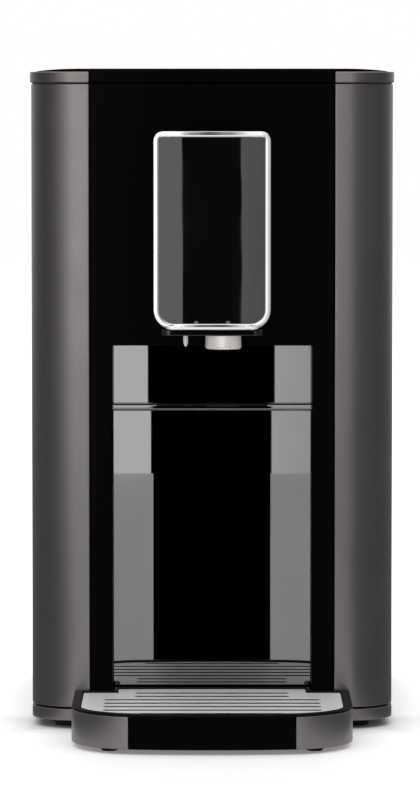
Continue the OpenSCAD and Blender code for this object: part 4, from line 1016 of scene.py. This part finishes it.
def glowFinish(name, box):
    finish, tree, shader = newFinish(name, {**noShine, "Emission Color": (1, 1, 1)})
    coords = addNode(tree, "ShaderNodeTexCoord")
    aside = maths(tree, "ABSOLUTE", axesOf(tree, coords.outputs["Object"])["X"])
    fall = maths(tree, "POWER", maths(tree, "DIVIDE", aside, box["width"]), softBoxes["power"])
    glow = maths(tree, "DIVIDE", box["glow"], maths(tree, "ADD", fall, 1.0))
    tree.links.new(maths(tree, "ADD", glow, box["base"]), shader.inputs["Emission Strength"])
    return finish


def makeSoftBoxes(dark):
    gap, end = softBoxes["gap"], softBoxes["gap"] + softBoxes["width"]
    z0 = softBoxes["middleZ"] - softBoxes["height"] / 2
    place = (softBoxes["y"], z0, z0 + softBoxes["height"])
    addScreen("left_softbox", upright(-end, -gap, *place), glowFinish("leftGlow", leftBox), True)
    addScreen("right_softbox", upright(gap, end, *place), glowFinish("rightGlow", rightBox), True)
    addScreen("dark_screen", upright(-gap, gap, *place), dark)


# Low dark card before the tray, which carries the gap on in the mirror panel
card = {"half": 0.0312, "y": -0.25, "top": 0.14}
# Grey flags on the floor beside and behind the part, for its side panels and tank
flags = {"x": 0.1, "frontY": -1.5, "backY": 3.0, "z": 0.0005, "glow": 0.16}
topLamp = {"glow": 1.0, "size": 6.0, "place": (0, 0, 2.6), "aim": (0, 0.001, 0)}


def makeFlags():
    look = {**noShine, "Emission Color": (1, 1, 1), "Emission Strength": flags["glow"]}
    grey = newFinish("greyFlag", look)[0]
    x, end, y0, y1, z = flags["x"], floor["size"] / 2, flags["frontY"], flags["backY"], flags["z"]
    rear = high("base_pan").y * mm
    rows = (("left_flag", -end, -x, y0), ("right_flag", x, end, y0), ("rear_flag", -x, x, rear))
    for name, x0, x1, start in rows:
        addScreen(name, ((x0, start, z), (x0, y1, z), (x1, y1, z), (x1, start, z)), grey)


def makeTopLamp():
    size, place = topLamp["size"], Vector(topLamp["place"])
    lamp = bpy.data.lights.new("topLamp", "AREA")
    lamp.shape = "RECTANGLE"
    lamp.size = size
    lamp.size_y = size
    lamp.energy = topLamp["glow"] * math.pi * size * size
    obj = bpy.data.objects.new("topLamp", lamp)
    obj.location = place
    obj.rotation_euler = (Vector(topLamp["aim"]) - place).to_track_quat("-Z", "Y").to_euler()
    obj.visible_camera = False
    bpy.context.scene.collection.objects.link(obj)


def makeLight():
    dark = newFinish("darkScreen", noShine)[0]
    makeSoftBoxes(dark)
    addScreen("dark_card", upright(-card["half"], card["half"], card["y"], 0, card["top"]), dark)
    makeFlags()
    makeTopLamp()


camera = {"place": (-0.001, -2.24, 0.309), "downDeg": 3.931, "lens": 204.3, "sensor": 36.0, "clipEnd": 50}


def makeCamera():
    data = bpy.data.cameras.new("camera")
    data.sensor_width = camera["sensor"]
    data.lens = camera["lens"]
    data.clip_end = camera["clipEnd"]
    obj = bpy.data.objects.new("camera", data)
    obj.location = camera["place"]
    obj.rotation_euler = (math.radians(90 - camera["downDeg"]), 0, 0)
    bpy.context.scene.collection.objects.link(obj)
    bpy.context.scene.camera = obj


makeFloor()
makeWorld()
makeLight()
makeCamera()
bpy.context.scene.view_settings.view_transform = "Standard"
print("stage, light and camera made")
